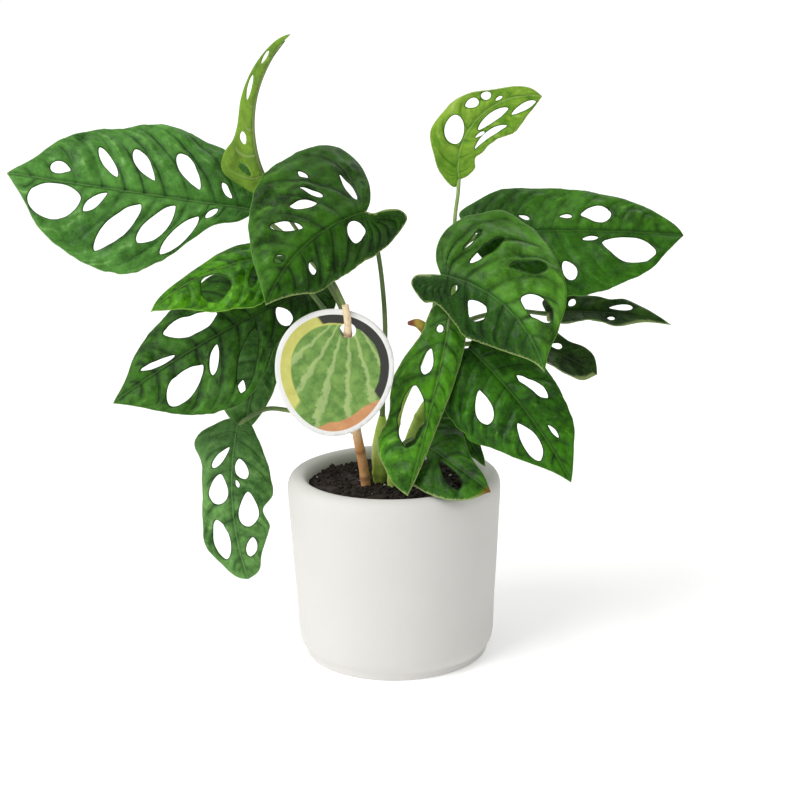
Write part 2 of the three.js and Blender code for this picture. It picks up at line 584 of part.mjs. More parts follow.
// Tag: a rounded card that hangs by its punched hole on the woody stem.
const TAG_POINTS = 36;
const tagHole = new THREE.Vector2(6.5, 29.5);
const tagShape = new THREE.Shape(Array.from({ length: TAG_POINTS }, (_, i) => {
  const angle = (i / TAG_POINTS) * 2 * Math.PI;
  const narrowing = 1 + 0.1 * Math.sin(angle);
  return new THREE.Vector2((TAG_WIDTH / 2) * narrowing * Math.cos(angle), (TAG_HEIGHT / 2) * Math.sin(angle));
}));
tagShape.holes.push(new THREE.Path().absarc(tagHole.x, tagHole.y, TAG_HOLE_RADIUS, 0, 2 * Math.PI, true));
const tagGeometry = new THREE.ExtrudeGeometry(tagShape, {
  depth: TAG_THICKNESS, bevelEnabled: false, curveSegments: 4,
});
tagGeometry.translate(-tagHole.x, -tagHole.y, -TAG_THICKNESS / 2);
tagGeometry.rotateZ(THREE.MathUtils.degToRad(-5.5));
tagGeometry.rotateX(THREE.MathUtils.degToRad(90 + 8));
tagGeometry.translate(-27, -62, 237);
const tagSolid = toSolid(tagGeometry).subtract(stems.woody_stem.clearance);
addPiece('tag', toGeometry(largestBody(tagSolid)), 'card');

export default plant;
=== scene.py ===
"""A monstera adansonii, or Swiss cheese vine, in a white ceramic pot, with a tag on one of its stems."""

import math

import bpy
import numpy as np
from mathutils import Matrix, Vector, noise
from mathutils.geometry import delaunay_2d_cdt


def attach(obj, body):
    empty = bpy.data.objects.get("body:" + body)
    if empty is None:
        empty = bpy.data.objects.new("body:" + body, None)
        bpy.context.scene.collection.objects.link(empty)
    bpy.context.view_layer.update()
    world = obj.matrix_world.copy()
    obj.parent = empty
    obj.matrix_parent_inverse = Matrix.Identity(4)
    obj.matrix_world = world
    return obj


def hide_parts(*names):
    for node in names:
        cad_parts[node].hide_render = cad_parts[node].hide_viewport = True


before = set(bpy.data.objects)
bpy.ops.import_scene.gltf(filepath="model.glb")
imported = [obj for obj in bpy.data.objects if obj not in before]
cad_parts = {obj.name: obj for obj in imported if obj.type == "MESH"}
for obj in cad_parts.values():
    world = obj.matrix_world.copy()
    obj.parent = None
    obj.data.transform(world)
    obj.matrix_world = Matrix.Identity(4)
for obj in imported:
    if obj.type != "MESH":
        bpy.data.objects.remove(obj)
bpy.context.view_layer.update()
scene = bpy.context.scene
MM = 0.001

# ---------------------------------------------------------------------------------------------------
# Pot. A thick-walled cover pot of slip-cast white stoneware, a little narrower towards its foot.
# It is turned true and left unglazed: dry to the touch, with a soft round rim and a faint speckle.
# ---------------------------------------------------------------------------------------------------
POT_TURN_STEPS = 192
POT_FLOOR_HEIGHT = 9
PROFILE_STEP = 2.4

# Radii and heights in millimetres: the foot, then up the outside and over the rim, then down inside.
POT_FOOT = [(61.5, 0), (62.6, 0.4), (63, 1.5)]
POT_PROFILE = [
    (63.4, 5), (66.3, 9.5), (68.3, 40), (70.2, 70), (71.7, 100), (72.5, 115), (72.1, 120.5), (69.6, 125),
    (65.6, 126.5), (62, 125.7), (59.8, 123.2), (58.8, 119), (58.2, 105),
]
POT_INSIDE = [(58, 100), (55, 14), (51, POT_FLOOR_HEIGHT)]


def smooth_path(points, step):
    """Points a step apart on the smooth curve that passes through the given ones."""
    points = np.array(points, float)
    ends = [2 * points[0] - points[1], 2 * points[-1] - points[-2]]
    points = np.vstack([ends[0], points, ends[1]])
    knots = np.sqrt(np.linalg.norm(np.diff(points, axis=0), axis=1))
    curve = []
    for i in range(1, len(points) - 2):
        before, here, after, beyond = points[i - 1:i + 3]
        near, mid, far = np.maximum(knots[i - 1:i + 2], 1e-6)
        leaving = (here - before) / near - (after - before) / (near + mid) + (after - here) / mid
        arriving = (after - here) / mid - (beyond - here) / (mid + far) + (beyond - after) / far
        leaving, arriving = leaving * mid, arriving * mid
        t = np.linspace(0, 1, 24, endpoint=False)[:, None]
        rise = 2 * here - 2 * after + leaving + arriving
        sag = 3 * after - 3 * here - 2 * leaving - arriving
        curve.append(rise * t**3 + sag * t**2 + leaving * t + here)
    curve = np.vstack(curve + [points[-2:-1]])
    lengths = np.concatenate([[0], np.cumsum(np.linalg.norm(np.diff(curve, axis=0), axis=1))])
    places = np.linspace(0, lengths[-1], max(2, round(lengths[-1] / step)) + 1)
    return np.stack([np.interp(places, lengths, column) for column in curve.T], axis=1)


def piece_from(name, corners, faces, material):
    """A smooth-shaded piece in millimetres, from its corners and faces."""
    mesh = bpy.data.meshes.new(name)
    mesh.from_pydata((np.asarray(corners) * MM).tolist(), [], [list(map(int, face)) for face in faces])
    mesh.materials.append(material)
    mesh.shade_smooth()
    piece = bpy.data.objects.new(name, mesh)
    scene.collection.objects.link(piece)
    return piece


class Wire:
    """What a node gives out, so that the maths of a finish reads as sums."""

    def __init__(self, board, socket):
        self.board = board
        self.socket = socket

    def maths(self, operation, *terms):
        return self.board.node("ShaderNodeMath", {"operation": operation}, dict(enumerate(terms)))

    def __abs__(self):
        return self.maths("ABSOLUTE", self)

    def __add__(self, other):
        return self.maths("ADD", self, other)

    def __sub__(self, other):
        return self.maths("SUBTRACT", self, other)

    def __rsub__(self, other):
        return self.maths("SUBTRACT", other, self)

    def __mul__(self, other):
        return self.maths("MULTIPLY", self, other)

    __radd__ = __add__
    __rmul__ = __mul__


class Board:
    """A node tree that nodes are laid out on, each with its settings and what goes into it."""

    def __init__(self, tree):
        self.tree = tree

    def node(self, kind, settings=None, inputs=None, output=0):
        made = self.tree.nodes.new(kind)
        for name, value in (settings or {}).items():
            setattr(made, name, value)
        for name, value in (inputs or {}).items():
            self.plug(made.inputs[name], value)
        return Wire(self, made.outputs[output])

    def plug(self, socket, value):
        if isinstance(value, Wire):
            self.tree.links.new(value.socket, socket)
        else:
            socket.default_value = value

    def measure(self, vector, axis):
        """How far a vector reaches along an axis."""
        return self.node("ShaderNodeSeparateXYZ", {}, {0: vector}, output=axis)


class Finish(Board):
    """A material: the colour and the surface of one kind of piece."""

    def __init__(self, name):
        self.material = bpy.data.materials.new(name)
        self.material.use_nodes = True
        super().__init__(self.material.node_tree)
        self.skin = self.tree.nodes["Principled BSDF"]

    def place(self):
        """Where on the object a point lies, in metres."""
        return self.node("ShaderNodeTexCoord", output="Object")

    def mark(self, name):
        """The values of an attribute that the mesh carries."""
        return self.node("ShaderNodeAttribute", {"attribute_name": name}, output="Fac")

    def flat_place(self, x, y):
        """Where on a flat sheet a point lies, from two of its marks."""
        return self.node("ShaderNodeCombineXYZ", {}, {0: x, 1: y, 2: 0.0})

    def mottle(self, scale, detail=4, roughness=0.6, place=None):
        """Cloudy noise, about 0.5 on average."""
        return self.node("ShaderNodeTexNoise", {}, {
            "Vector": place or self.place(), "Scale": scale, "Detail": detail, "Roughness": roughness})

    def ramp(self, value, low, high, at_low=0, at_high=1):
        """Follows a value smoothly from at_low, where it is low, to at_high, where it is high."""
        inputs = {0: value, 1: low, 2: high, 3: at_low, 4: at_high}
        return self.node("ShaderNodeMapRange", {"interpolation_type": "SMOOTHSTEP"}, inputs)

    def blend(self, share, first, second):
        """The first colour, with a share of the second in it."""
        inputs = {0: share, 6: first, 7: second}
        return self.node("ShaderNodeMix", {"data_type": "RGBA"}, inputs, output=2)

    def relief(self, height, depth):
        """Bumps of the given depth in millimetres."""
        return self.node("ShaderNodeBump", {}, {"Strength": 1, "Distance": depth * MM, "Height": height})

    def wear(self, **sockets):
        """The finished material, once what is named goes into its shader."""
        for name, value in sockets.items():
            self.plug(self.skin.inputs[name.replace("_", " ")], value)
        return self.material


def hue(red, green, blue):
    """A colour from its red, green and blue, each up to 255."""
    parts = [part / 255 for part in (red, green, blue)]
    return tuple(p / 12.92 if p <= 0.04045 else ((p + 0.055) / 1.055) ** 2.4 for p in parts) + (1,)


def dimmed(colour, share):
    """A colour with only a share of its light."""
    return tuple(part * share for part in colour[:3]) + (1,)


def bare_stoneware():
    finish = Finish("bare_white_stoneware")
    clouds = finish.mottle(14, 3)
    grains = finish.ramp(finish.mottle(1500, 2), 0.62, 0.72)
    colour = finish.blend(clouds, hue(209, 207, 203), hue(217, 215, 211))
    colour = finish.blend(grains * 0.25, colour, hue(176, 168, 156))
    grit = finish.mottle(900, 5, 0.7) + finish.mottle(60, 3) * 1.5
    return finish.wear(Base_Color=colour, Roughness=0.62 + clouds * 0.16, Normal=finish.relief(grit, 0.05))


def turned_pot():
    """The pot's profile turned about its axis, from the foot over the rim to the floor inside."""
    profile = POT_FOOT + [tuple(p) for p in smooth_path(POT_PROFILE, PROFILE_STEP)] + POT_INSIDE
    corners, faces = [(0, 0, 0), (0, 0, POT_FLOOR_HEIGHT)], []
    for radius, height in profile:
        for i in range(POT_TURN_STEPS):
            angle = i / POT_TURN_STEPS * 2 * math.pi
            corners.append((radius * math.cos(angle), radius * math.sin(angle), height))
    top = 2 + (len(profile) - 1) * POT_TURN_STEPS
    for i in range(POT_TURN_STEPS):
        j = (i + 1) % POT_TURN_STEPS
        for low in range(2, top, POT_TURN_STEPS):
            high = low + POT_TURN_STEPS
            faces.append((low + i, low + j, high + j, high + i))
        faces.append((0, 2 + j, 2 + i))
        faces.append((1, top + i, top + j))
    return piece_from("stoneware_pot", corners, faces, bare_stoneware())


pot = turned_pot()
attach(pot, "root")
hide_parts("pot")

# ---------------------------------------------------------------------------------------------------
# Potting soil. Damp dark peat, filled to just under the rim and settled into lumps, with crumbs of
# bark and peat and white grains of perlite lying loose on it.
# ---------------------------------------------------------------------------------------------------
SOIL_RADIUS = 57.6
SOIL_HEIGHT = 119.2
SOIL_BOTTOM = 108
SOIL_RINGS = 44
SOIL_STEPS = 120
CLOD_HEIGHT = 1.6
CRUMB_HEIGHT = 0.9
SETTLED_AT_WALL = 1.5
STEEPEST_SHARE = 0.3


def damp_peat():
    finish = Finish("damp_peat")
    clods = finish.mottle(160, 6, 0.7)
    fibres = finish.mottle(900, 5, 0.75)
    colour = finish.blend(clods, hue(9, 7, 6), hue(54, 42, 35))
    colour = finish.blend(finish.ramp(fibres, 0.52, 0.75), colour, hue(112, 90, 70))
    return finish.wear(Base_Color=colour, Roughness=0.95, Normal=finish.relief(fibres + clods * 2, 0.6))


def perlite():
    finish = Finish("perlite")
    pores = finish.mottle(1400, 4, 0.7)
    colour = finish.blend(pores, hue(196, 190, 178), hue(246, 244, 238))
    return finish.wear(Base_Color=colour, Roughness=0.9, Normal=finish.relief(pores, 0.3))


def soil_top():
    """The lumpy top of the soil, closed underneath by a skirt and a flat bottom."""
    corners, faces = [(0, 0, SOIL_HEIGHT)], []
    for ring in range(1, SOIL_RINGS + 1):
        outwards = ring / SOIL_RINGS
        for i in range(SOIL_STEPS):
            angle = i / SOIL_STEPS * 2 * math.pi
            radius = SOIL_RADIUS * ring / SOIL_RINGS
            x, y = radius * math.cos(angle), radius * math.sin(angle)
            lumps = CLOD_HEIGHT * noise.fractal(Vector((x, y, 0)) * 0.07, 0.9, 2.1, 5)
            lumps += CRUMB_HEIGHT * noise.fractal(Vector((x, y, 9)) * 0.35, 0.9, 2.1, 3)
            corners.append((x, y, SOIL_HEIGHT + lumps - SETTLED_AT_WALL * outwards**8))
    corners += [(x, y, SOIL_BOTTOM) for x, y, height in corners[-SOIL_STEPS:]]
    corners.append((0, 0, SOIL_BOTTOM))
    lowest = 1 + SOIL_RINGS * SOIL_STEPS
    for i in range(SOIL_STEPS):
        j = (i + 1) % SOIL_STEPS
        faces.append((0, 1 + i, 1 + j))
        for inner in range(1, lowest, SOIL_STEPS):
            outer = inner + SOIL_STEPS
            faces.append((inner + i, outer + i, outer + j, inner + j))
        faces.append((len(corners) - 1, lowest + j, lowest + i))
    return piece_from("soil_top", corners, faces, damp_peat())


def grown(name, kind, carrier, values):
    """A plain mesh of what a geometry tree grows on a carrier, from the tree's named inputs."""
    grower = carrier.modifiers.new(name, "NODES")
    grower.node_group = kind
    for item in kind.interface.items_tree:
        if item.item_type == "SOCKET" and item.in_out == "INPUT" and item.name in values:
            grower[item.identifier] = values[item.name]
    evaluated = carrier.evaluated_get(bpy.context.evaluated_depsgraph_get())
    mesh = bpy.data.meshes.new_from_object(evaluated)
    carrier.modifiers.remove(grower)
    mesh.name = name
    piece = bpy.data.objects.new(name, mesh)
    scene.collection.objects.link(piece)
    return piece


def geometry_board(name, inputs):
    """An empty geometry tree with its named inputs, and the wires that they come in on."""
    tree = bpy.data.node_groups.new(name, "GeometryNodeTree")
    tree.interface.new_socket("Geometry", in_out="INPUT", socket_type="NodeSocketGeometry")
    tree.interface.new_socket("Geometry", in_out="OUTPUT", socket_type="NodeSocketGeometry")
    for socket, kind in inputs.items():
        tree.interface.new_socket(socket, in_out="INPUT", socket_type=kind)
    board = Board(tree)
    entry = tree.nodes.new("NodeGroupInput")
    wires = {socket.name: Wire(board, socket) for socket in entry.outputs if socket.name}
    return board, wires


def finished_tree(board, shape, material):
    """The board's tree, once its shape is made one mesh in its material and led out."""
    whole = board.node("GeometryNodeRealizeInstances", {}, {"Geometry": shape})
    covered = board.node("GeometryNodeSetMaterial", {}, {"Geometry": whole, "Material": material})
    leaving = board.tree.nodes.new("NodeGroupOutput")
    board.plug(leaving.inputs[0], covered)
    return board.tree


def scatter_tree():
    """Grains strewn on the upward faces of a carrier, each turned and sized at random."""
    board, given = geometry_board("strewn_grains", {
        "Grains per square metre": "NodeSocketFloat", "Grain radius": "NodeSocketFloat",
        "Seed": "NodeSocketInt", "Material": "NodeSocketMaterial"})
    upward = board.measure(board.node("GeometryNodeInputNormal"), "Z")
    facing = board.node("FunctionNodeCompare", {"operation": "GREATER_THAN"}, {
        0: upward, 1: STEEPEST_SHARE})
    points = board.node("GeometryNodeDistributePointsOnFaces", {}, {
        "Mesh": given["Geometry"], "Selection": facing, "Density": given["Grains per square metre"],
        "Seed": given["Seed"]})
    ball = board.node("GeometryNodeMeshIcoSphere", {}, {
        "Radius": given["Grain radius"], "Subdivisions": 2})
    bumps = board.node("ShaderNodeTexNoise", {}, {"Scale": 700.0, "Detail": 1.0}, output="Color")
    shift = board.node("ShaderNodeVectorMath", {"operation": "SUBTRACT"}, {0: bumps, 1: (0.5, 0.5, 0.5)})
    sized = board.node("ShaderNodeVectorMath", {"operation": "SCALE"}, {
        0: shift, "Scale": given["Grain radius"] * 2.2})
    grain = board.node("GeometryNodeSetPosition", {}, {"Geometry": ball, "Offset": sized})
    turn = board.node("FunctionNodeRandomValue", {"data_type": "FLOAT_VECTOR"}, {
        0: (0.0, 0.0, 0.0), 1: (6.28, 6.28, 6.28), "Seed": given["Seed"]})
    size = board.node("FunctionNodeRandomValue", {"data_type": "FLOAT_VECTOR"}, {
        0: (0.2, 0.2, 0.2), 1: (1.0, 1.0, 0.8), "Seed": given["Seed"] + 7})
    placed = board.node("GeometryNodeInstanceOnPoints", {}, {
        "Points": points, "Instance": grain, "Rotation": turn, "Scale": size})
    return finished_tree(board, placed, given["Material"])


soil = soil_top()
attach(soil, "root")
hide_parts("soil")
strewn_grains = scatter_tree()
for name, density, radius, seed, material in [
        ("peat_crumbs", 100000.0, 2.7, 3, damp_peat()), ("perlite_grains", 3000.0, 1.9, 11, perlite())]:
    grains = grown(name, strewn_grains, soil, {
        "Grains per square metre": density, "Grain radius": radius * MM, "Seed": seed,
        "Material": material})
    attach(grains, "root")

# ---------------------------------------------------------------------------------------------------
# Stems. Round vines rooted in the soil: one old and woody, tan with darker nodes where leaves have
# dropped, and three green ones, each a little thicker at its nodes.
# ---------------------------------------------------------------------------------------------------
# A stem's radii are spread evenly along its path, and its nodes are lengths along it, in millimetres.
STEMS = {
    "woody_stem": {
        "radii": [3.4, 3.3, 3.1, 3, 2.7, 2.2], "nodes": [16, 31, 52, 78, 108, 133, 150],
        "path": [[-17, -8, 96], [-19, -12, 122], [-21, -15, 139], [-24, -24, 161], [-26, -34, 185],
                 [-27, -46, 211], [-27, -58, 233], [-27, -65, 246], [-28, -67, 254]],
    },
    "middle_stem": {
        "radii": [3.4, 3.4, 3.8, 5, 6.2, 6, 4.4, 2.2], "nodes": [28],
        "path": [[-10, 0, 98], [-10, -3, 120], [-9, -5, 134], [-8, -8, 150], [-7, -10, 168]],
    },
    "shoot_stem": {
        "radii": [3.4, 3.3, 3, 2.6, 2.2], "nodes": [26, 44, 66, 96, 120],
        "path": [[-1, -12, 98], [-1, -14, 120], [-1, -14, 142], [1, -14, 159], [5, -14, 176],
                 [13, -14, 194], [21, -14, 213], [26, -14, 228]],
    },
    "main_stem": {
        "radii": [4.2, 4.2, 3.9, 3.6, 3.2, 2.6], "nodes": [26, 42, 68, 92, 112, 134, 152],
        "path": [[8, 4, 96], [9, 4, 120], [11, 4, 143], [19, 4, 164], [27, 3, 178], [33, 0, 200],
                 [38, 0, 224], [40, 1, 244], [41, 2, 262]],
    },
}
STEM_STEP = 1.5
STEM_SIDES = 20
NODE_LENGTH = 1.6
NODE_SWELLING = 0.14


def tube_tree():
    """A round tube along a curve, as thick at each point as the curve says."""
    board, given = geometry_board("grown_tube", {
        "Sides": "NodeSocketInt", "Thickness": "NodeSocketFloat", "Material": "NodeSocketMaterial"})
    section = board.node("GeometryNodeCurvePrimitiveCircle", {}, {
        "Resolution": given["Sides"], "Radius": 1.0})
    width = board.node("GeometryNodeInputRadius") * given["Thickness"]
    tube = board.node("GeometryNodeCurveToMesh", {}, {
        "Curve": given["Geometry"], "Profile Curve": section, "Scale": width, "Fill Caps": True})
    smooth = board.node("GeometryNodeSetShadeSmooth", {}, {"Geometry": tube})
    return finished_tree(board, smooth, given["Material"])


grown_tube = tube_tree()


def tube_along(name, points, radii, sides, material):
    """A closed tube through the points, with a radius at each of them, all in millimetres."""
    curve = bpy.data.curves.new(name, "CURVE")
    curve.dimensions = "3D"
    spline = curve.splines.new("POLY")
    spline.points.add(len(points) - 1)
    for knot, point, radius in zip(spline.points, points, radii):
        knot.co = (*(np.array(point) * MM), 1)
        knot.radius = radius
    carrier = bpy.data.objects.new(name + "_line", curve)
    scene.collection.objects.link(carrier)
    piece = grown(name, grown_tube, carrier, {"Sides": sides, "Thickness": MM, "Material": material})
    bpy.data.objects.remove(carrier)
    return piece


def spread(values, count):
    """A few values spread evenly over a count of points."""
    return np.interp(np.linspace(0, 1, count), np.linspace(0, 1, len(values)), values)


def stem_bark(name, young, old, node_colour, scar_depth, top_colour, top):
    """Fibrous bark, mottled from young to old, darker at its nodes and of another colour at the top."""
    finish = Finish(name)
    stretched = finish.node("ShaderNodeVectorMath", {"operation": "MULTIPLY"}, {
        0: finish.place(), 1: (1, 1, 0.22)})
    fibres = finish.mottle(700, 5, 0.7, stretched)
    patches = finish.mottle(55, 4)
    height = finish.measure(finish.place(), "Z")
    colour = finish.blend(finish.ramp(patches, 0.35, 0.65), young, old)
    colour = finish.blend(finish.ramp(height, top - 0.02, top), colour, top_colour)
    colour = finish.blend(finish.ramp(fibres, 0.5, 0.75) * 0.6, colour, node_colour)
    colour = finish.blend(finish.mark("node") * 0.7, colour, node_colour)
    bumps = finish.relief(fibres + patches * 0.6, scar_depth)
    return finish.wear(Base_Color=colour, Roughness=0.45 + fibres * 0.3, Normal=bumps)


green_stem = stem_bark("green_stem", hue(160, 198, 66), hue(206, 226, 124), hue(150, 170, 68), 0.15,
                       hue(128, 162, 68), 0.22)
woody_bark = stem_bark("woody_stem", hue(218, 156, 98), hue(236, 190, 136), hue(140, 82, 44), 0.4,
                       hue(234, 212, 174), 0.172)


def mark_points(piece, name, values):
    """Gives each corner of a piece's mesh a value that its material can read."""
    attribute = piece.data.attributes.new(name, "FLOAT", "POINT")
    attribute.data.foreach_set("value", np.asarray(values, np.float32))


def stem_piece(name, stem, material):
    """A stem that swells at its nodes, which lie at the given lengths along it."""
    points = smooth_path(stem["path"], STEM_STEP)
    travelled = np.arange(len(points)) * STEM_STEP
    rings = sum(np.exp(-((travelled - node) / NODE_LENGTH) ** 2) for node in stem["nodes"])
    radii = spread(stem["radii"], len(points)) * (1 + NODE_SWELLING * rings)
    piece = tube_along(name + "_vine", points, radii, STEM_SIDES, material)
    corners = np.empty(len(piece.data.vertices) * 3)
    piece.data.vertices.foreach_get("co", corners)
    corners = corners.reshape(-1, 3)
    nearest = [np.argmin(((points * MM - corner) ** 2).sum(1)) for corner in corners]
    mark_points(piece, "node", rings[nearest])
    return piece


for name, stem in STEMS.items():
    vine = stem_piece(name, stem, woody_bark if name == "woody_stem" else green_stem)
    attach(vine, "root")
    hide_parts(name)
